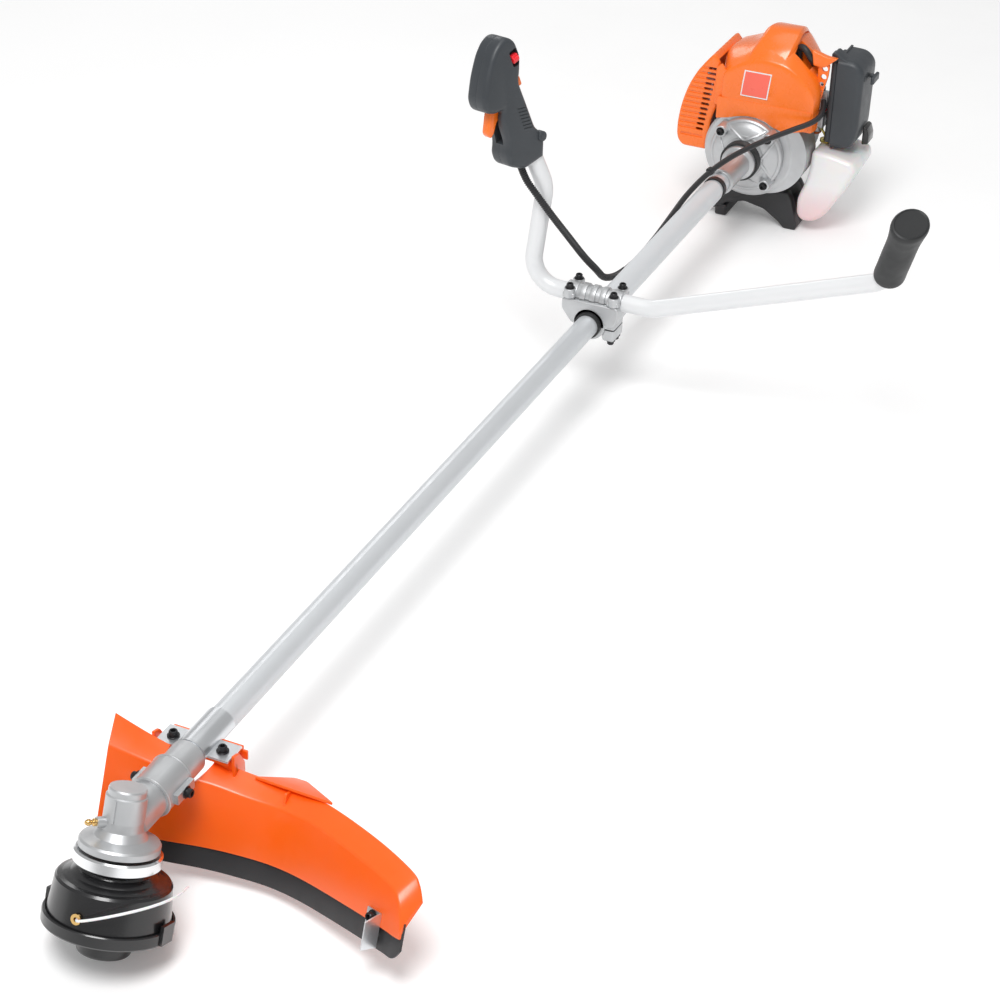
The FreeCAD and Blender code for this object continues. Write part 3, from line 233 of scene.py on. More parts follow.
# Every finish of the record, by name, and the label's tint
FINISHES = {
    "cast_metal": dict(colour=(0.56, 0.57, 0.58), rough=0.42, tone=0.07, tone_scale=30, grain_scale=1100,
        grain=0.28, depth=0.0004, metallic=0.75),
    "bright_steel": dict(colour=(0.83, 0.84, 0.85), rough=0.14, tone=0.03, grain=0.03, metallic=1.0),
    "machined_steel": dict(colour=(0.52, 0.53, 0.55), rough=0.3, grain=0.05, metallic=1.0),
    "plated_steel": dict(colour=(0.72, 0.74, 0.76), rough=0.32, tone=0.02, tone_scale=6, grain_scale=60,
        grain=0.01, metallic=0.9),
    "black_steel": dict(colour=(0.02, 0.02, 0.022), rough=0.33, grain=0.06, metallic=0.4),
    "brass": dict(colour=(0.80, 0.52, 0.20), rough=0.22, grain=0.05, metallic=1.0),
    "gloss_black": dict(colour=(0.012, 0.012, 0.013), rough=0.24, tone=0.1, grain_scale=260, grain=0.05,
        coat=0.3, coat_rough=0.12),
    "matte_black": dict(colour=(0.022, 0.022, 0.024), rough=0.45, grain_scale=1400, grain=0.2),
    "slate_plastic": dict(colour=(0.042, 0.048, 0.055), rough=0.42, tone=0.08, grain_scale=1700, grain=0.3,
        depth=0.0002),
    "orange_plastic": dict(colour=(1.0, 0.185, 0.012), rough=0.27, tone=0.03, grain_scale=320, grain=0.05,
        coat=0.35, coat_rough=0.15),
    "guard_orange": dict(colour=(1.0, 0.125, 0.004), rough=0.33, tone=0.03, grain_scale=240, grain=0.05,
        coat=0.2, coat_rough=0.2,
        sockets={"Subsurface Weight": 0.15, "Subsurface Scale": 0.004}),
    "red_plastic": dict(colour=(0.85, 0.02, 0.03), rough=0.25, grain=0.05, coat=0.3),
    "white_nylon": dict(colour=(0.86, 0.87, 0.88), rough=0.28, tone=0.03, grain=0.05,
        sockets={"Subsurface Weight": 0.2, "Subsurface Scale": 0.002}),
    "silver_tube": dict(colour=(0.66, 0.68, 0.70), rough=0.36, tone=0.015, grain_scale=300, grain=0.01,
        metallic=0.35),
    "pale_sleeve": dict(colour=(0.70, 0.72, 0.74), rough=0.38, tone=0.015, grain=0.02, metallic=0.1),
    "white_bar": dict(colour=(0.80, 0.81, 0.82), rough=0.33, tone=0.01, grain_scale=300, grain=0.01,
        metallic=0.1),
    "rubber": dict(colour=(0.02, 0.021, 0.022), rough=0.5, grain_scale=1500, grain=0.3),
    "clear_tube": dict(colour=(0.86, 0.72, 0.22), rough=0.15, grain=0.02,
        sockets={"Transmission Weight": 0.6, "IOR": 1.4}),
    "friction_lining": dict(colour=(0.12, 0.10, 0.08), rough=0.7, grain=0.5),
    "label_tint": dict(colour=(0.95, 0.14, 0.09), rough=0.3, tone=0.03, grain=0.04, coat=0.3)}


def make_materials():
    made = {name: finish_material(name, **look) for name, look in FINISHES.items()}
    made["tank_plastic"] = tank_material()
    return made


def dress(thing, slot):
    """Gives a piece one of the record's finishes."""
    thing.data.materials.clear()
    thing.data.materials.append(MATERIALS[slot])


def dress_nodes():
    slots = {part["node"]: part["material_slot"] for part in frame["record"]["subparts"]}
    for name, thing in NODES.items():
        thing.data.materials.clear()
        thing.data.materials.append(MATERIALS[slots[name]])


# ---- mesh helpers ----

def mesh_object(name, points, faces):
    mesh = bpy.data.meshes.new(name)
    mesh.from_pydata([tuple(point) for point in points], [], faces)
    mesh.validate()
    maker = bmesh.new()
    maker.from_mesh(mesh)
    bmesh.ops.remove_doubles(maker, verts=maker.verts, dist=1e-6)
    bmesh.ops.recalc_face_normals(maker, faces=maker.faces)
    maker.to_mesh(mesh)
    maker.free()
    thing = bpy.data.objects.new(name, mesh)
    bpy.context.scene.collection.objects.link(thing)
    shade(thing)
    return thing


def shade(thing, angle=32):
    for face in thing.data.polygons:
        face.use_smooth = True
    thing.data.set_sharp_from_angle(angle=radians(angle))


def loft(name, rings, place, closed=True, caps=(True, True)):
    """A skin over rings of points, with a cap at either end; place turns each point into the row frame."""
    count = len(rings[0])
    points = [place(point) for ring in rings for point in ring]
    faces = []
    for row in range(len(rings) - 1):
        for column in range(count if closed else count - 1):
            after = (column + 1) % count
            faces.append((row * count + column, row * count + after,
                          (row + 1) * count + after, (row + 1) * count + column))
    if caps[0] and closed:
        faces.append(tuple(range(count)))
    if caps[1] and closed:
        faces.append(tuple(range((len(rings) - 1) * count, len(rings) * count)))
    return mesh_object(name, points, faces)


def softened(corners, radius, steps=4, closed=True):
    """A polyline with every corner rounded; radius may be one number or one for each corner."""
    points = [Vector(corner) for corner in corners]
    radii = radius if isinstance(radius, (list, tuple)) else [radius] * len(points)
    result = []
    for index, corner in enumerate(points):
        if not closed and index in (0, len(points) - 1) or radii[index] <= 0:
            result.append(corner)
            continue
        back = points[index - 1] - corner
        ahead = points[(index + 1) % len(points)] - corner
        reach = min(radii[index], back.length * 0.48, ahead.length * 0.48)
        first = corner + back.normalized() * reach
        last = corner + ahead.normalized() * reach
        for step in range(steps + 1):
            share = step / steps
            result.append(first * (1 - share) ** 2 + corner * (2 * share * (1 - share)) + last * share ** 2)
    return result


def lathe(name, profile, place, radius=0.8, turns=96, steps=3, closed=True):
    """A (radius, height) profile, its corners eased, turned about the third axis."""
    outline = softened([(r, 0, z) for r, z in profile], radius, steps)
    rings = []
    for turn in range(turns):
        angle = 2 * pi * turn / turns
        rings.append([(point.x * cos(angle), point.x * sin(angle), point.z) for point in outline])
    rings.append(rings[0])
    return loft(name, rings, place, closed, caps=(False, False))


def along_x(point):
    """Stands a turned shape on the tube's axis: its height becomes x."""
    x, y, z = point
    return at((z, x, y))


def rounded_box(name, low, high, radius, place, segments=3):
    """A box with rounded edges between two corners."""
    maker = bmesh.new()
    bmesh.ops.create_cube(maker, size=1)
    low, high = Vector(low), Vector(high)
    for vertex in maker.verts:
        vertex.co = low + Vector(((vertex.co[axis] + 0.5) * (high - low)[axis] for axis in range(3)))
    if radius > 0:
        bmesh.ops.bevel(maker, geom=maker.edges[:], offset=radius, segments=segments, profile=0.5,
                        affect="EDGES")
    points = [place(vertex.co) for vertex in maker.verts]
    maker.verts.index_update()
    faces = [tuple(vertex.index for vertex in face.verts) for face in maker.faces]
    maker.free()
    return mesh_object(name, points, faces)


def outline_turn(corners):
    """An outline's corners as vectors, and 1 where they run anticlockwise or -1 where they don't."""
    points = [Vector(corner) for corner in corners]
    area = sum(a.x * b.y - b.x * a.y for a, b in zip(points, points[1:] + points[:1]))
    return points, 1 if area > 0 else -1


def offset_corners(corners, amount):
    """A closed outline of (x, y) corners with every side moved inwards."""
    points, turn = outline_turn(corners)
    result = []
    for index, point in enumerate(points):
        into = (point - points[index - 1]).normalized()
        away = (points[(index + 1) % len(points)] - point).normalized()
        first, second = Vector((-into.y, into.x)) * turn, Vector((-away.y, away.x)) * turn
        middle = (first + second).normalized()
        result.append(point + middle * (amount / max(middle.dot(first), 0.35)))
    return result


def slab(name, corners, depth, place, near=0.6, far=0.6, radius=1.0, steps=3, corner_steps=4):
    """A flat outline of (x, y) corners from z=0 to z=depth; near and far round its two rims."""
    points, turn = outline_turn(corners)
    radii = list(radius) if isinstance(radius, (list, tuple)) else [radius] * len(points)
    bends = []
    for index, point in enumerate(points):
        into, away = point - points[index - 1], points[(index + 1) % len(points)] - point
        bends.append(turn * (into.x * away.y - into.y * away.x) > 0)

    def inset(level, amount):
        eased = [max(size - amount, 0.15) if convex else size + amount for size, convex in zip(radii, bends)]
        return softened([(point.x, point.y, level) for point in offset_corners(corners, amount)], eased,
                        corner_steps)

    way = 1 if depth > 0 else -1
    arcs = [(1 - sin(pi / 2 * step / steps), 1 - cos(pi / 2 * step / steps)) for step in range(steps + 1)]
    if near > 0:
        rings = [inset(near * rise * way, near * pull) for rise, pull in reversed(arcs)]
    else:
        rings = [inset(0, 0)]
    if far > 0:
        rings += [inset(depth - far * rise * way, far * pull) for rise, pull in arcs]
    else:
        rings.append(inset(depth, 0))
    return loft(name, rings, place)


def across_x(start):
    """Stands a slab across the tube: its outline is (y, z) and its depth runs along x from start."""
    return lambda point: at((start + point[2], point[0], point[1]))


def along_y(start):
    """Stands a slab along the tube: its outline is (x, z) and its depth runs along y from start."""
    return lambda point: at((point[0], start + point[2], point[1]))


def rod(name, radius, start, direction, length, edge=0.5, turns=48):
    """A round bar with rounded rims."""
    turn = Vector(direction).normalized().to_track_quat("Z", "Y")
    profile = [(0, 0), (radius, 0), (radius, length), (0, length)]
    return lathe(name, profile, lambda point: at(turn @ Vector(point) + Vector(start)),
                 [0, edge, edge, 0], turns, closed=False)


def carve(thing, cutters, keep=False):
    """Takes the cutters' shapes out of a piece; keep leaves them for the next piece."""
    for cutter in cutters:
        step = thing.modifiers.new("carve", "BOOLEAN")
        step.operation = "DIFFERENCE"
        step.solver = "MANIFOLD"
        step.object = cutter
    settle(thing)
    if not keep:
        for cutter in cutters:
            bpy.data.objects.remove(cutter)
    return thing


def settle(thing):
    """Applies a piece's modifiers."""
    bpy.context.view_layer.update()
    result = thing.evaluated_get(bpy.context.evaluated_depsgraph_get())
    mesh = bpy.data.meshes.new_from_object(result)
    thing.modifiers.clear()
    thing.data = mesh
    shade(thing)


def join(name, things):
    """Several meshes as one piece."""
    maker = bmesh.new()
    for thing in things:
        maker.from_mesh(thing.data)
    mesh = bpy.data.meshes.new(name)
    maker.to_mesh(mesh)
    maker.free()
    for thing in things:
        bpy.data.objects.remove(thing)
    result = bpy.data.objects.new(name, mesh)
    bpy.context.scene.collection.objects.link(result)
    shade(result)
    return result


def finish_piece(thing, body, slot, *nodes):
    dress(thing, slot)
    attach(thing, body)
    if nodes:
        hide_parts(*nodes)
    return thing


def smooth_between(values, share):
    """Catmull-Rom through a list of equal-length tuples; share runs from 0 to 1."""
    last = len(values) - 1
    spot = min(max(share, 0), 0.999999) * last
    index = int(spot)
    t = spot - index
    picks = [Vector(values[min(max(index + step, 0), last)]) for step in (-1, 0, 1, 2)]
    a, b, c, d = picks
    return 0.5 * (2 * b + (c - a) * t + (2 * a - 5 * b + 4 * c - d) * t ** 2
                  + (3 * b - a - 3 * c + d) * t ** 3)


# ---- cutting lines ----

LINE_DIAMETER = 2.5
FRONT_LINE = [(-51, 0, -69), (-62, -1, -69), (-61.6, -14, -64), (-56.5, -28.5, -58), (-45.5, -42.5, -52.8),
              (-29.5, -54.5, -48.6), (-10.5, -61.8, -45.6), (7.5, -63.2, -43.8), (21.5, -61, -42.8)]
REAR_LINE = [(51, 0, -69), (62, 1, -69), (62, 14, -67.5), (57, 29, -65.5), (46, 43.5, -63.5), (31, 55, -62.2)]
FRONT_LENGTH = 0.1308
REAR_LENGTH = 0.0751


def spline_curve(name, points, diameter):
    """A round cord whose route points are the control points of one open NURBS spline."""
    data = bpy.data.curves.new(name, "CURVE")
    data.dimensions = "3D"
    data.bevel_depth = diameter / 2
    data.bevel_resolution = 6
    data.use_fill_caps = True
    data.resolution_u = 16
    spline = data.splines.new("NURBS")
    spline.points.add(len(points) - 1)
    for slot, point in zip(spline.points, points):
        slot.co = (*point, 1)
    spline.order_u = 3
    spline.use_endpoint_u = True
    thing = bpy.data.objects.new(name, data)
    bpy.context.scene.collection.objects.link(thing)
    return thing


def make_cutting_lines():
    for name, route, length in (("cutting_line_front", FRONT_LINE, FRONT_LENGTH),
                                ("cutting_line_rear", REAR_LINE, REAR_LENGTH)):
        line = spline_curve("line_" + name, [at_head(point) for point in route], LINE_DIAMETER * MM)
        finish_piece(line, "head", "white_nylon", name)


# ---- guard ----

GUARD_WALL = 2.5
GUARD_STATIONS = [
    (72, 66, -43, 40, 66), (86, 30, -41, 31, 50), (94, 2, -40, 25, 41), (105, -29, -39.5, 21, 38),
    (111, -60, -39, 17, 34), (113, -95, -39, 16, 32), (104, -133, -39, 15, 31), (80, -190, -39, 9, 25),
    (60, -232, -39, 2, 17), (52, -246, -39, -8, 10), (47, -254, -38, -30, -4)]
SKIRT_LOW = [-58, -61, -61, -61, -61, -61, -61, -61, -61, -60, -50]


def guard_rings(profile, count=72):
    """Rings along the guard; profile gives (offset, height) corners from one station's values."""
    rows = [station + (low,) for station, low in zip(GUARD_STATIONS, SKIRT_LOW)]
    stations = [smooth_between(rows, step / count) for step in range(count + 1)]
    rings = []
    for index, station in enumerate(stations):
        before, after = stations[max(index - 1, 0)], stations[min(index + 1, count)]
        along = Vector((after[0] - before[0], after[1] - before[1])).normalized()
        corners = softened([(offset, 0, height) for offset, height in profile(station)], 0.9, 2)
        rings.append([(station[0] - along.y * corner.x, station[1] + along.x * corner.x, corner.z)
                      for corner in corners])
    return rings


def guard_profile(station):
    low, fold, top = station[2], station[3], station[4]
    lean = 17.0
    rise = (top - fold) / lean
    return [(0, low), (0, fold - 1), (0.9, fold + 0.9 * rise), (lean, top), (lean + 2.2, top - 1.2),
            (3.4, fold - 1.4), (GUARD_WALL, fold - 3.2), (GUARD_WALL, low)]


def skirt_profile(station):
    low, top = station[5], -24
    return [(3, low), (3, top), (5.5, top), (5.5, low)]


def make_guard():
    wall = loft("guard_wall", guard_rings(guard_profile), at_head)
    wall = carve(wall, [rod("notch_round", 21.6, (60, 0, 0), (1, 0, 0), 78, 0),
                        rounded_box("notch_top", (60, -21.6, 0), (138, 21.6, 62), 0, at)])
    feet = [rounded_box("guard_deck", (118, -37, -5), (148, 37, -0.6), 1.2, at)]
    for side in (-1, 1):
        for x in (124, 144):
            y = 30 * side - 12
            feet.append(rounded_box("deck_rib", (x, y, -14), (x + 2.6, y + 24, -4), 0.8, at))
        gusset = [(121, -24), (140, -24), (140, -12), (131, 3), (121, 6)]
        feet.append(slab("gusset", gusset, 3, along_y(side * 42), radius=2))
    tunnel = rod("tunnel", 14.4, (100, 0, 0), (1, 0, 0), 60, 0)
    deck = carve(join("guard_feet", feet), [tunnel])
    fin = slab("guard_fin", [(124, -58), (152, -86), (152, -99), (120, -142)], 2.6,
               lambda point: at_head((point[0], point[1], point[2] + 31.5)), radius=3)
    stem = slab("guard_stem", [(116, 30), (117, -8), (127, 6), (146, 32)], 2.6,
                lambda point: at_head((point[0], point[2] - 97, point[1])), radius=2)
    finish_piece(join("guard_sheet", [wall, deck, fin, stem]), "boom", "guard_orange", "guard")
    skirt = loft("skirt_sheet", guard_rings(skirt_profile), at_head)
    finish_piece(skirt, "boom", "matte_black", "guard_skirt")


# ---- screws ----

GEARBOX_SCREWS = [((66, -25, 0), (0, -1, 0)), ((64, 24, 1), (0, 1, 0))]
CLAMP_X = 1078.0
CLAMP_TOP = 12.4
BAR_Z = 28.5
BAR_RADIUS = 11.0
PAIR = (-1, 1)
CAP_BOLTS = [(side * 14.5, way * 29) for side in PAIR for way in PAIR]
ENGINE_X = 1625.0
ENGINE_BOLTS = [(side * 35, way * 35) for side in PAIR for way in PAIR]
HEAD_RADIUS = 4.3
HEAD_HEIGHT = 6.0


def cutter_screw():
    """Where the line cutter's screw sits on the guard, and the way it points."""
    first = Vector((80, -190, 0))
    last = Vector((60, -232, 0))
    along = (last - first).normalized()
    out = Vector((-along.y, along.x, 0))
    seat = first + (last - first) * 0.75 + Vector((0, 0, -32)) - out * 1.7
    low, high = at_head(seat), at_head(seat - out)
    return (low - ORIGIN) / MM, high - low


def screw_seats():
    up, down, back = (0, 0, 1), (0, 0, -1), (-1, 0, 0)
    seats = GEARBOX_SCREWS + [((128, side * 26, 2.6), up) for side in PAIR]
    seats += [((CLAMP_X + dx, dy, BAR_Z + CLAMP_TOP), up) for dx, dy in CAP_BOLTS]
    seats += [((CLAMP_X + side * 8, -25.5, -21), down) for side in PAIR]
    seats += [((ENGINE_X, dy, dz), back) for dy, dz in ENGINE_BOLTS]
    return seats + [cutter_screw()]


def screw_head(seat, direction):
    """A knurled socket head with its washer."""
    turn = Vector(direction).normalized().to_track_quat("Z", "Y")
    seat = Vector(seat)
    count = 72

    def ring(radius, height, ripple=0.0, sides=0):
        points = []
        for index in range(count):
            angle = 2 * pi * index / count
            reach = radius + ripple * (index % 2)
            if sides:
                reach = radius / cos((angle % (2 * pi / sides)) - pi / sides)
            points.append(seat + turn @ Vector((reach * cos(angle), reach * sin(angle), height)))
        return points

    knurl = -0.18
    washer = loft("washer", [ring(HEAD_RADIUS + 1.5, 0.02), ring(HEAD_RADIUS + 1.7, 0.25),
                             ring(HEAD_RADIUS + 1.7, 0.9), ring(HEAD_RADIUS + 1.4, 1.1)], at)
    top = HEAD_HEIGHT
    head = loft("head", [ring(HEAD_RADIUS, 1.0), ring(HEAD_RADIUS, 1.4, knurl),
                         ring(HEAD_RADIUS, top - 1.1, knurl), ring(HEAD_RADIUS - 0.1, top - 0.8),
                         ring(HEAD_RADIUS - 0.7, top), ring(2.6, top), ring(2.3, top - 0.3, sides=6),
                         ring(2.2, top - 3, sides=6)], at)
    return [washer, head]


def make_screws():
    bits = []
    for seat, direction in screw_seats():
        bits += screw_head(seat, direction)
    finish_piece(join("socket_screw_set", bits), "boom", "black_steel", "socket_screws")


# ---- handlebar clamp ----

PAD_STARTS = (-37, 21)


def make_clamp():
    start = CLAMP_X - 20
    top = BAR_Z - 0.4
    body = [(37, top), (37, 14), (24, -3), (-20, -3), (-33, 2), (-37, 14), (-37, top)]
    jaw = slab("jaw", body, 40, across_x(start), 1.6, 1.6, 3.5)
    barrel = rod("barrel", 21, (start, 0, 0), (1, 0, 0), 40, 1.5)
    ear = rounded_box("ear", (start + 4, -32, -21), (start + 36, -16, 4), 3, at)
    bore = rod("bore", 16.6, (start - 2, 0, 0), (1, 0, 0), 44, 0)
    channel = rod("channel", BAR_RADIUS, (CLAMP_X, -40, BAR_Z), (0, 1, 0), 80, 0)
    slit = rounded_box("slit", (start - 1, -40, -6), (start + 41, -15, -4), 0, at)
    for shape in (jaw, barrel):
        carve(shape, [bore], keep=True)
    carve(jaw, [channel])
    carve(ear, [slit])
    carve(ear, [bore], keep=True)
    bpy.data.objects.remove(bore)
    finish_piece(join("clamp_jaw", [jaw, barrel, ear]), "boom", "cast_metal", "handle_bracket")

    low = BAR_Z + 0.4
    parts = [rounded_box("pad", (start, y, low), (start + 40, y + 16, 36), 2, at) for y in PAD_STARTS]
    sleeves = [rod("sleeve", BAR_RADIUS + 2.5, (CLAMP_X, -22, BAR_Z), (0, 1, 0), 44, 0.3)]
    sleeves += [rod("rib", BAR_RADIUS + 4.2, (CLAMP_X, y, BAR_Z), (0, 1, 0), 8, 1.6) for y in (-17, -4, 9)]
    sleeves += [rod("ear_band", BAR_RADIUS + 3.5, (CLAMP_X, y, BAR_Z), (0, 1, 0), 16, 1.5)
                for y in PAD_STARTS]
    below = rounded_box("below", (start - 5, -40, 0), (start + 45, 40, low), 0, at)
    channel = rod("channel", BAR_RADIUS, (CLAMP_X, -42, BAR_Z), (0, 1, 0), 84, 0)
    for shape in sleeves:
        carve(shape, [below], keep=True)
    for shape in sleeves + parts:
        carve(shape, [channel], keep=True)
    bpy.data.objects.remove(below)
    bpy.data.objects.remove(channel)
    posts = [rod("post", 7.4, (CLAMP_X + dx, dy, low), (0, 0, 1), 12, 1.2) for dx, dy in CAP_BOLTS]
    finish_piece(join("clamp_cap", parts + sleeves + posts), "boom", "cast_metal", "handle_cap")


# ---- throttle grip ----

GRIP_BASE = Vector((1091, 82, 178))
GRIP_UP = Vector((-0.26, 0.22, 0.94)).normalized()
GRIP_FRONT = Vector((-0.395, -0.913, 0.105)).cross(GRIP_UP).normalized()
GRIP_SIDE = GRIP_UP.cross(GRIP_FRONT)
GRIP_HALF = 17.0
GRIP_OUTLINE = [(24, 4), (50, -8), (63, 2), (101, 3), (130, 4), (142, -3), (158, -10), (180, -9),
                (191, 3), (188, 17), (179, 30), (160, 47), (136, 62), (122, 62), (114, 50), (112, 38),
                (98, 46), (70, 47), (56, 55), (42, 55), (26, 36), (25, 20)]
GRIP_SOFTNESS = [3, 6, 8, 0, 6, 6, 7, 8, 8, 7, 8, 14, 8, 8, 5, 5, 8, 8, 6, 7, 7, 4]


def grip_vector(height, front, side=0.0):
    return GRIP_BASE + GRIP_UP * height + GRIP_FRONT * front + GRIP_SIDE * side


def grip_slab(name, outline, side0, side1, near=0.5, far=0.5, radius=1.5, steps=3):
    """A slab across the grip; its outline is (height, front)."""
    return slab(name, outline, side1 - side0,
                lambda point: at(grip_vector(point[0], point[1], side0 + point[2])), near, far, radius, steps)


def make_throttle_grip():
    for side, name in ((1, "throttle_housing_inner"), (-1, "throttle_housing_outer")):
        half = grip_slab("half", GRIP_OUTLINE, 0.06 * side, GRIP_HALF * side, 0.4, 6.5, GRIP_SOFTNESS, 6)
        room = grip_slab("room", [(68, 31), (98, 28), (106, 14), (134, 12), (140, 30), (128, 50), (108, 66),
                                  (68, 66)], -6.5, 6.5, 0, 0, 1)
        lock = grip_slab("lock_room", [(117, -10), (131, -10), (131, 10), (117, 10)], -5.2, 5.2, 0, 0, 1)
        low = grip_vector(2, 12)
        bar = rod("bar_room", BAR_RADIUS, low, GRIP_UP, 94, 0)
        hose = rod("hose_room", 4.9, grip_vector(6, 30), GRIP_UP, 38, 0)
        cutters = [room, lock, bar, hose]
        if side > 0:
            outline = [(151, -6), (172, -6), (172, 6), (151, 6)]
            cutters.append(grip_slab("switch_room", outline, 10.5, 20, 0, 0, 3))
        for index in range(7):
            height = 66 + index * 4.6
            notch = [(height, 0), (height + 1.8, 0), (height + 9.8, 20), (height + 8, 20)]
            cutters.append(grip_slab("rib_gap", notch, side * (GRIP_HALF - 0.9), side * (GRIP_HALF + 3),
                                     0, 0, 0.4))
        carve(half, cutters)
        extras = []
        if side > 0:
            extras.append(rod("screw_boss", 6.4, grip_vector(50, -1.5, 9), GRIP_SIDE, 10, 1.4))
            extras.append(rod("screw_recess", 3.4, grip_vector(50, -1.5, 18.2), GRIP_SIDE, 1.3, 0.4))
        finish_piece(join("grip_" + name, [half] + extras), "boom", "slate_plastic", name)
    outline = [(102, 28), (108, 18), (128, 17), (133, 26), (124, 42), (112, 52), (92, 64), (84, 61), (88, 54),
               (98, 46)]
    blade = grip_slab("trigger_blade", outline, -5.5, 5.5, 1.8, 1.8, 3.5)
    finish_piece(blade, "trigger", "orange_plastic", "throttle_trigger")
    body = grip_slab("switch_body", [(155.5, -4.5), (165.5, -4.5), (165.5, 4.5), (155.5, 4.5)], 11,
                     GRIP_HALF + 0.8, 0.3, 0.6, 1)
    ridge = grip_slab("switch_ridge", [(158, -4.5), (163, -4.5), (163, 4.5), (158, 4.5)], GRIP_HALF,
                      GRIP_HALF + 3, 0, 1.2, 1)
    finish_piece(join("switch_slider", [body, ridge]), "stop_switch", "red_plastic", "stop_switch")
    lock = grip_slab("lock_button", [(118, -6.5), (130, -6.5), (130, 7), (118, 7)], -4.8, 4.8, 1, 1, 2)
    finish_piece(lock, "throttle_lock", "orange_plastic", "throttle_lock")


# ---- support grip ----

SUPPORT_BASE = Vector((1087, -357, 133))
SUPPORT_UP = Vector((-0.39, -0.28, 0.88)).normalized()


def make_support_grip():
    """Rings of (reach along the grip, half length, half width, shift to the front)."""
    stations = [(0, 17, 15, 0), (4, 20, 18, 0), (18, 20.6, 18, 0.6), (45, 21.4, 18, 1.4), (70, 22, 18, 2),
                (88, 24, 19.3, 2.6), (98, 25.5, 20.5, 3), (102, 25.3, 20.3, 3)]
    flat_way = (GRIP_FRONT - SUPPORT_UP * GRIP_FRONT.dot(SUPPORT_UP)).normalized()
    side_way = SUPPORT_UP.cross(flat_way)
    rows = [smooth_between(stations, step / 40) for step in range(41)]
    rows = [Vector((0.2, 13, 12, 0)), Vector((0, 16, 14, 0))] + rows
    rows += [Vector((104.2, 24.4, 19.4, 3)), Vector((105, 22.6, 17.8, 3)), Vector((104.2, 21.4, 16.8, 3)),
             Vector((104, 12, 9, 3))]
    rings = []
    for reach, major, minor, shift in rows:
        centre = SUPPORT_BASE + SUPPORT_UP * reach + GRIP_FRONT * shift
        rings.append([centre + flat_way * major * cos(angle) + side_way * minor * sin(angle)
                      for angle in (2 * pi * turn / 64 for turn in range(64))])
    finish_piece(loft("rubber_grip", rings, at), "boom", "rubber", "support_grip")


# ---- throttle cable ----

CABLE_ROUTE = [
    grip_vector(36, 30), grip_vector(8, 31), (1064, 80, 157), (1072, 60, 127), (1086, 43, 97), (1108, 29, 62),
    (1140, 24, 32), (1182, 30, 0), (1225, 25, -12), (1280, 21.5, -11), (1338, 21, -8), (1396, 21, 0),
    (1448, 18.5, 12), (1500, 9, 24), (1540, -8, 36), (1580, -34, 47), (1618, -67, 58), (1648, -98.5, 68),
    (1671, -99.5, 78), (1688.5, -93, 85)]
CORRUGATED_TO = 1240.0
HOSE_RADIUS = 4.6
CABLE_RADIUS = 3.9


def curve_path(points, samples=24):
    """Points along a NURBS spline that has these control points."""
    line = spline_curve("path", [at(point) for point in points], 0.001)
    line.data.bevel_depth = 0
    line.data.use_fill_caps = False
    line.data.resolution_u = samples
    bpy.context.view_layer.update()
    mesh = bpy.data.meshes.new_from_object(line.evaluated_get(bpy.context.evaluated_depsgraph_get()))
    path = [vertex.co.copy() for vertex in mesh.vertices]
    bpy.data.meshes.remove(mesh)
    bpy.data.objects.remove(line)
    return path


def evenly(path, gap):
    """The same path with points a fixed distance apart."""
    result = [path[0]]
    left = gap
    for start, end in zip(path, path[1:]):
        run = (end - start).length
        spot = left
        while spot <= run:
            result.append(start.lerp(end, spot / run))
            spot += gap
        left = spot - run
    return result


def hose_along(name, path, radius_of, turns=20):
    """A tube on a path; radius_of gives its radius at each point's number."""
    rings = []
    side = None
    for index, point in enumerate(path):
        along = (path[min(index + 1, len(path) - 1)] - path[max(index - 1, 0)]).normalized()
        if side is None:
            side = along.orthogonal().normalized()
        side = (side - along * side.dot(along)).normalized()
        other = along.cross(side)
        reach = radius_of(index) * MM
        rings.append([point + side * reach * cos(angle) + other * reach * sin(angle)
                      for angle in (2 * pi * turn / turns for turn in range(turns))])
    return loft(name, rings, Vector)


def make_throttle_cable():
    path = evenly(curve_path(CABLE_ROUTE), 0.0007)
    limit = at((CORRUGATED_TO, 0, 0)).x
    change = next(index for index, point in enumerate(path) if point.x > limit)
    wave = (3.8, HOSE_RADIUS, HOSE_RADIUS, 3.8)
    rough = hose_along("hose", path[:change], lambda index: wave[index % 4])
    smooth = hose_along("sheath", path[change - 4::6], lambda index: CABLE_RADIUS)
    finish_piece(join("throttle_hose", [rough, smooth]), "boom", "matte_black", "throttle_cable")


# ---- shroud ----

# Across the shroud at each x: (y, z) corners, anticlockwise seen from the head
SHROUD_SECTIONS = [
    (1653.6, [(47, 45), (-90, 45), (-90, 98), (-72, 122), (-44, 138), (-10, 142), (22, 132), (47, 112)]),
    (1672, [(52, 45), (-92, 45), (-93, 106), (-74, 130), (-46, 154), (-8, 158), (20, 142), (52, 124)]),
    (1700, [(58, 48), (-84, 48), (-84, 112), (-70, 134), (-46, 168), (-6, 168), (16, 149), (58, 132)]),
    (1745, [(58, 44), (-78, 44), (-78, 112), (-66, 130), (-44, 162), (-8, 162), (16, 146), (58, 130)]),
    (1762, [(56, 44), (-74, 44), (-74, 106), (-62, 124), (-42, 150), (-10, 150), (16, 136), (56, 122)])]
SHROUD_MIDDLE = (-20, 95)
SHROUD_RADII = [3, 3, 14, 16, 12, 12, 18, 14]
# Each hole's (y, z, radius) in the strip beside the air filter
LATTICE_HOLES = [(-92.5, 132.5, 4.2), (-91.5, 120.5, 4.2), (-89.5, 109.5, 3.4), (-88, 99, 3.0)]
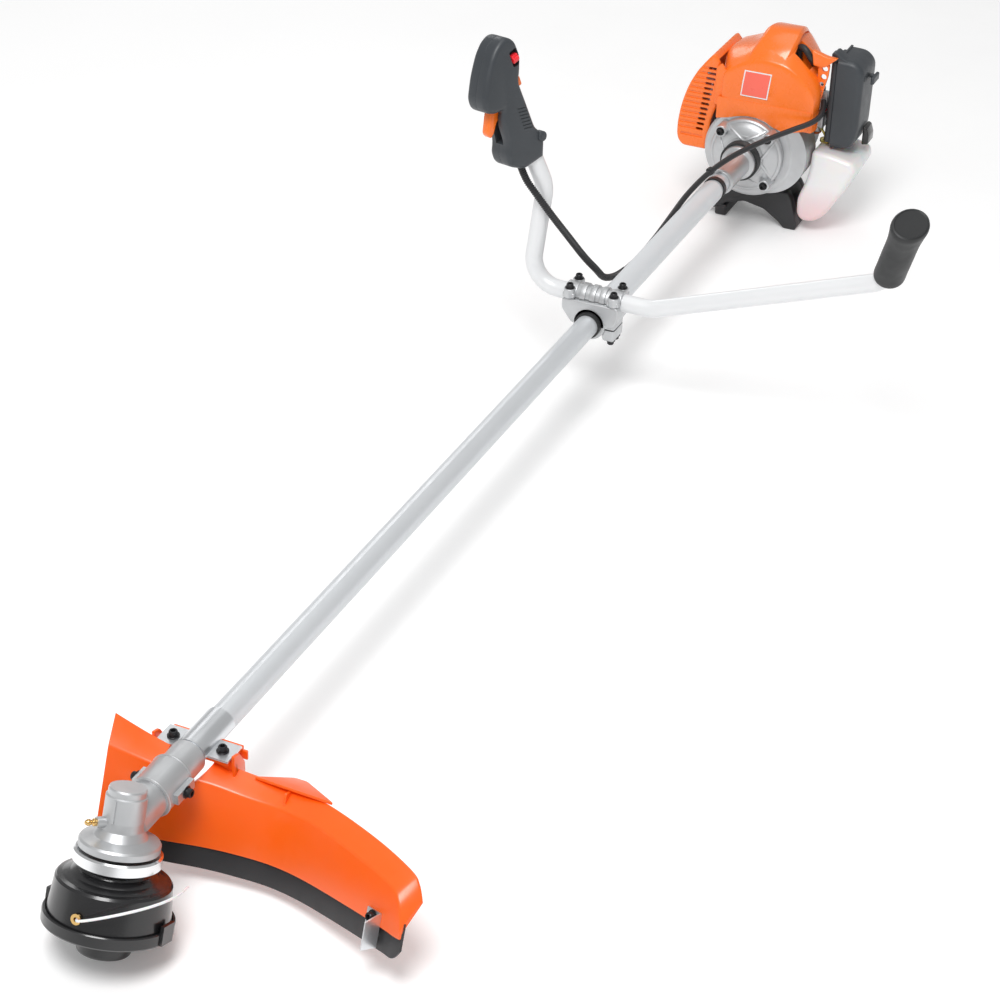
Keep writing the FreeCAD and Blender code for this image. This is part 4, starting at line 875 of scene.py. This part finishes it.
# The raised ridge from the rear, over the top and down the front: (x, z, left y, right y)
RIDGE = [(1752, 159, -10, -42), (1738, 167, -8, -43), (1718, 173, -6, -45), (1698, 174.5, -4, -46),
         (1683, 168, -2, -46), (1671, 158, 2, -44), (1661, 146, 7, -41), (1653, 131, 12, -37),
         (1650.4, 112, 15, -33), (1650.0, 92, 18, -29), (1650.9, 64, 21, -25)]


def shroud_ring(x, corners, pull=0.0):
    corners = softened([(y, z, 0) for y, z in corners], SHROUD_RADII, 6)
    middle = Vector((*SHROUD_MIDDLE, 0))
    result = []
    for corner in corners:
        corner = corner - (corner - middle).normalized() * pull
        result.append((x, corner.x, corner.y))
    return result


def make_shroud():
    flat_rows = [(x,) + tuple(value for corner in corners for value in corner)
                 for x, corners in SHROUD_SECTIONS]
    rows = [smooth_between(flat_rows, step / 24) for step in range(25)]

    def corners_of(row):
        return [(row[1 + 2 * index], row[2 + 2 * index]) for index in range(8)]

    first = corners_of(rows[0])
    rings = [shroud_ring(1650.7, first, 14), shroud_ring(1651.0, first, 7), shroud_ring(1651.8, first, 2.6),
             shroud_ring(1652.7, first, 0.6)]
    rings += [shroud_ring(row[0], corners_of(row)) for row in rows[1:]]
    shell = loft("shell", rings, at, caps=(True, False))
    apron = [(52, 43), (34, 47), (20, 51.5), (6, 54.2), (-8, 54), (-22, 50.5), (-34, 44), (-46, 41),
             (-62, 42), (-84, 48), (-88, 76), (52, 76)]
    apron = slab("apron", apron, 2.0, across_x(1650.2), 0.4, 0.4, 2)
    strip = slab("strip", [(44, 58), (58, 62), (58, 116), (50, 124), (40, 110)], 2.6, across_x(1654.6),
                 1, 0.4, 3)
    skin = shell.modifiers.new("skin", "SOLIDIFY")
    skin.thickness = 3 * MM
    skin.offset = -1
    settle(shell)
    window = slab("window", [(-48, 126), (-72, 128), (-80, 142), (-72, 164), (-50, 164)], 25,
                  across_x(1672), 0, 0, 6)
    cutters = [rounded_box("under", (1655, -80, 30), (1800, 52, 54), 0, at),
               rounded_box("bay", (1688, -100, 30), (1800, -54, 118), 4, at),
               rounded_box("side", (1676, 40, 30), (1800, 80, 114), 4, at),
               rod("fan_room", 67, (1640, 0, 0), (1, 0, 0), 62, 0, 96),
               rod("volute_room", 63, (1640, -24, 4), (1, 0, 0), 62, 0, 96), window]
    carve(shell, cutters)
    rings = []
    fine = [smooth_between(RIDGE, step / 48) for step in range(49)]
    for index, row in enumerate(fine):
        before, after = fine[max(index - 1, 0)], fine[min(index + 1, 48)]
        along = Vector((after[0] - before[0], 0, after[1] - before[1])).normalized()
        up = Vector((-along.z, 0, along.x))
        if up.z < 0 or (abs(up.z) < 0.05 and up.x > 0):
            up = -up
        fade = min(1, (48 - index) / 6, index / 4 + 0.2)
        middle = Vector((row[0], 0, row[1])) - up * 2.6
        left, right = row[2], row[3]
        shape = [(left + 6, -3), (left + 4.4, -0.6), (left + 0.8, 2.2 * fade), (left - 1.2, 2.8 * fade),
                 (right + 1.2, 2.8 * fade), (right - 0.8, 2.2 * fade), (right - 3.2, -0.6), (right - 4.4, -3)]
        rings.append([middle + up * rise + Vector((0, y, 0)) for y, rise in shape])
    ridge = loft("ridge", rings, at)
    back = slab("recess_wall", [(-42, 124), (-84, 112), (-84, 128), (-66, 150), (-46, 164)], 2.2,
                across_x(1697.5), 0.5, 0.5, 4)
    horn = slab("horn", [(-72, 158), (-76, 136), (-92, 135), (-98, 140), (-109, 150), (-94, 151)], 10,
                across_x(1676), 1.5, 1.5, [3, 2, 5, 2, 0.8, 6])
    lattice = slab("lattice", [(-82, 141), (-99, 139), (-98, 122), (-94, 104), (-91, 86), (-84, 86)], 4,
                   across_x(1680), 1, 1, 3)
    holes = [rod("hole", radius, (1670, y, z), (1, 0, 0), 20, 0)
             for y, z, radius in LATTICE_HOLES]
    lattice = carve(lattice, [join("holes", holes)])
    finish_piece(join("engine_shroud", [shell, apron, strip, ridge, back, horn, lattice]), "boom",
                 "orange_plastic", "shroud")
    lead = [(1693, -50, 132), (1690, -50, 150), (1684, -54, 158), (1679, -63, 156), (1679, -70, 146),
            (1686, -74, 137), (1694, -72, 132)]
    boot = hose_along("plug_lead", evenly(curve_path(lead), 0.001), lambda index: 4.6)
    finish_piece(boot, "boom", "rubber")


def on_ridge(height):
    """How far forward the ridge's front is at one height."""
    rows = [smooth_between(RIDGE, step / 200) for step in range(60, 201)]
    return min(rows, key=lambda row: abs(row[1] - height))[0]


def make_label():
    """A blank panel with a pale border on the ridge's front."""
    low, high = 84.0, 122.0
    border = 1.6

    def sheet(name, edge, lift):
        rings = []
        for step in range(13):
            share = step / 12
            height = low + edge + (high - low - 2 * edge) * share
            left, right = 18 - edge - 3.5 * share, -22 + edge - 3.5 * share
            x = on_ridge(height) - 0.9 - lift
            back = x + 0.5
            rings.append([(x, left, height), (x, right, height), (back, right, height), (back, left, height)])
        return loft(name, rings, at)

    finish_piece(sheet("label_border", 0, 0), "boom", "white_nylon")
    panel = sheet("label_panel", border, 0.12)
    finish_piece(panel, "boom", "orange_plastic")
    panel.data.materials.clear()
    panel.data.materials.append(MATERIALS["label_tint"])


# ---- muffler cover ----

COVER_OUTER = [(109, -6), (112.5, 4), (112.5, 22), (110, 42), (105.5, 62), (98, 84), (87.5, 104), (75, 121),
               (66, 132)]
COVER_INNER = [(62, 133), (54, 124), (54, 112), (53, 62), (62, 34), (67, -12), (102, -12)]


def make_muffler_cover():
    radii = [6, 8, 8, 8, 8, 8, 8, 8, 3, 2, 4, 4, 4, 4, 3, 6]
    shell = slab("cover", COVER_OUTER + COVER_INNER, 102, across_x(1658), 4, 4, radii, 4)
    room = [(y - 3, z) for y, z in COVER_OUTER[:-1]] + [(63, 128), (40, 124), (40, -9), (104, -9)]
    slots = []
    for index in range(13):
        low = 16 + index * 7.8
        right = 55.5 + (114 - low) * 0.172
        left = 71 + (114 - low) * 0.13
        slots.append(rounded_box("slot", (1650, right, low), (1668, left, low + 4.4), 2.1, at, 2))
        slots.append(rounded_box("groove", (1650, left - 3, low + 0.3), (1659.4, 125, low + 4.1), 1.2, at, 2))
        slots.append(rounded_box("slot", (1665, left + 7, low + 0.2), (1747, 132, low + 4.2), 1.9, at, 2))
    slots.append(rounded_box("lip_groove", (1650, 72, 5), (1659.8, 106, 9.5), 1.5, at, 2))
    for index in range(6):
        start = 1670 + 13 * index
        slots.append(rounded_box("slit", (start, 62, 119), (start + 5, 84, 150), 2.0, at, 2))
    carve(shell, [slab("room", room, 96, across_x(1661), 0, 0, 2)] + slots)
    finish_piece(shell, "boom", "orange_plastic", "muffler_cover")


# ---- engine castings ----

def make_clutch_housing():
    profile = [(14, 1532), (17, 1532), (18.5, 1536), (18.5, 1604), (24.5, 1606), (25, 1629),
               (36, 1631), (47, 1636), (52, 1644), (52, 1650), (40, 1650), (38, 1642), (34, 1637),
               (20, 1633), (14, 1630), (13, 1608), (13, 1546), (14, 1546)]
    radii = [0.4, 0.8, 1, 1.5, 2, 2, 4, 5, 5, 1, 0.3, 1, 1, 1, 0.5, 0.3, 0.3, 0.3]
    bell = lathe("bell", profile, along_x, radii)
    bits = [bell]
    band = [(26, 1630.5), (30, 1629.6), (33, 1630.2), (33, 1632), (26, 1632)]
    bits.append(lathe("band", band, along_x, 0.6))
    rim = [(47, 1640), (50.5, 1638.6), (53.5, 1641), (53.5, 1649.6), (50, 1649.8), (48, 1645)]
    bits.append(lathe("rim", rim, along_x, 1.2))
    bits += [rod("boss", 8.4, (ENGINE_X - 0.3, dy, dz), (1, 0, 0), 24.5, 1.6) for dy, dz in ENGINE_BOLTS]
    for quarter in range(4):
        for swing in (-1, 1):
            start = pi / 4 + quarter * pi / 2
            rings = []
            for step in range(13):
                share = step / 12
                radius = 25.5 + 24.5 * share
                angle = start + swing * (0.20 + 0.52 * (1 - share) ** 1.6)
                x = 1629 + 10.5 * share ** 1.8
                across = Vector((0, -sin(angle), cos(angle))) * (2.8 - 0.8 * share)
                centre = Vector((x, radius * cos(angle), radius * sin(angle)))
                lift = Vector((-2.1 * (1 - 0.5 * share), 0, 0))
                down = Vector((3, 0, 0))
                rings.append([centre + across * 1.6 + down, centre + across + lift * 0.5,
                              centre + across * 0.4 + lift, centre - across * 0.4 + lift,
                              centre - across + lift * 0.5, centre - across * 1.6 + down])
            bits.append(loft("rib", rings, at))
    finish_piece(join("clutch_casting", bits), "boom", "cast_metal", "clutch_housing")


# ---- air filter cover ----

def make_filter_cover():
    outline = [(-90, 148), (-134, 146.5), (-147, 134), (-146, 40), (-139, 17), (-90, 15)]
    shell = slab("cover", outline, 68, across_x(1684), 9, 9, [9, 12, 14, 12, 12, 9], 5)
    front = rounded_box("front", (1680, -108.5, 10), (1756, -80, 156), 0, at)
    room = [(-100, 144.5), (-132, 143), (-143.5, 132), (-142.5, 41), (-136, 20.5), (-100, 18.5)]
    carve(shell, [front, slab("room", room, 61, across_x(1687.5), 6, 6, 8)])
    hook = [(-126, 144), (-116, 148), (-104, 156), (-100, 154.5), (-106, 147), (-110, 143), (-112, 140)]
    bits = [shell, slab("hook", hook, 22, across_x(1687), 1.2, 1.2, [2, 4, 1.5, 1.5, 4, 3, 1])]
    seam = [(-108.2, 148.6), (-111.5, 148.6), (-111.5, 14.4), (-108.2, 14.4)]
    frame_ring = slab("seam", seam, 60, across_x(1688), 0.6, 0.6, 0.7)
    hollow = rounded_box("hollow", (1690, -120, 17), (1746, -100, 146), 2, at)
    bits.append(carve(frame_ring, [hollow]))
    finish_piece(join("filter_cover_shell", bits), "filter_cover", "slate_plastic", "air_filter_cover")
    foot = [(-146.5, 44), (-152, 42), (-156, 30), (-156, 18), (-146.5, 16)]
    foot = slab("filter_foot", foot, 26, across_x(1716), 1.5, 1.5, 2)
    finish_piece(foot, "filter_cover", "gloss_black")


# ---- fuel tank and stand ----

TANK_SIDE = [(-88, 13), (-118, 11), (-150, 4), (-155, -8), (-134, -54), (-114, -86), (-100, -97), (-82, -98),
             (-74, -90), (-72, -66), (-82, -40), (-87, -18)]


def make_fuel_tank():
    body = slab("tank", TANK_SIDE, 92, across_x(1668), 9, 9, [8, 16, 9, 9, 20, 16, 10, 9, 9, 12, 14, 14], 7)
    carve(body, [rod("grommet_room", 4.3, (1712, -96, 0), (0, 0, 1), 30, 0)])
    seam = slab("seam", offset_corners(TANK_SIDE, -0.5), 1.4, across_x(1713.2), 0.6, 0.6, 10)
    carve(seam, [rod("gap", 9.4, (1712, -96, 0), (0, 0, 1), 30, 0)])
    neck = [(13, 1756), (17, 1756), (17, 1768), (13, 1768)]
    collar = [(13, 1750), (19.5, 1750), (19.5, 1761), (18.5, 1762), (13, 1762)]

    def at_neck(point):
        return at((point[2], point[0] - 100, point[1] - 40))

    bits = [body, seam, lathe("neck", neck, at_neck, 0.6), lathe("collar", collar, at_neck, 0.8)]
    finish_piece(join("tank_moulding", bits), "boom", "tank_plastic", "fuel_tank")


def make_engine_stand():
    side = [(48, -64), (48, -84), (55, -93), (66, -95), (66, -102), (56, -106), (44, -104), (34, -94),
            (6, -86), (-24, -92), (-48, -108), (-56, -116), (-74, -116), (-76, -108), (-64, -70),
            (-58, -60), (-30, -62), (20, -62)]
    plates = [slab("plate", side, 16, across_x(start), 2, 2, 3) for start in (1672, 1722)]
    middle = slab("middle", side, 40, across_x(1685), 1, 1, 4)
    hollow = rounded_box("hollow", (1690, -50, -130), (1720, 40, -93), 4, at)
    carve(middle, [hollow])
    foot = rounded_box("foot", (1672, 32, -115.5), (1738, 50, -98), 3, at)
    bits = plates + [middle]
    for shape in bits:
        carve(shape, [rod("fan", 66.3, (1660, 0, 0), (1, 0, 0), 100, 0, 96),
                      rod("volute", 62.3, (1650, -24, 4), (1, 0, 0), 60, 0, 96)])
    finish_piece(join("stand_moulding", bits + [foot]), "boom", "matte_black", "engine_stand")


# ---- small trim ----

def make_trim():
    nipple = [(0, 0), (3.4, 0), (3.4, 3), (2.2, 3.6), (2.2, 5), (3.0, 6), (3.0, 8), (1.4, 10.5), (0, 10.5)]
    way = Vector((-0.8, 0.6, 0))
    turn = way.to_track_quat("Z", "Y")
    seat = Vector((-21, 14.4, 6))
    nipple = lathe("grease_nipple", nipple, lambda point: at_head(seat + turn @ Vector(point)), 0.4, 32)
    finish_piece(nipple, "boom", "brass")
    rings = [lathe("ring", [(20.3, x), (21.2, x + 0.5), (21.2, x + 2), (20.3, x + 2.5)], along_x, 0.4)
             for x in (45, 81)]
    finish_piece(join("socket_rings", rings), "boom", "cast_metal")
    gasket = rounded_box("carburettor_gasket", (1701, -93, 60.4), (1743, -59, 62), 0.5, at)
    finish_piece(gasket, "boom", "red_plastic")
    tie = [(4.1, -3), (5.6, -3), (5.6, 3), (4.1, 3)]
    centre = Vector((1507, 6.6, 26))
    lean = Vector((40, -17, 12)).normalized().to_track_quat("Z", "Y")
    second = lathe("hose_tie", tie, lambda point: at(centre + lean @ Vector(point)), 0.4, 40)
    finish_piece(second, "boom", "matte_black")


# ---- scene ----

MATERIALS = make_materials()
make_camera()
make_cutting_lines()
make_studio()
dress_nodes()
make_guard()
make_screws()
make_clamp()
make_throttle_grip()
make_support_grip()
make_throttle_cable()
make_shroud()
make_label()
make_muffler_cover()
make_clutch_housing()
make_filter_cover()
make_fuel_tank()
make_engine_stand()
make_trim()
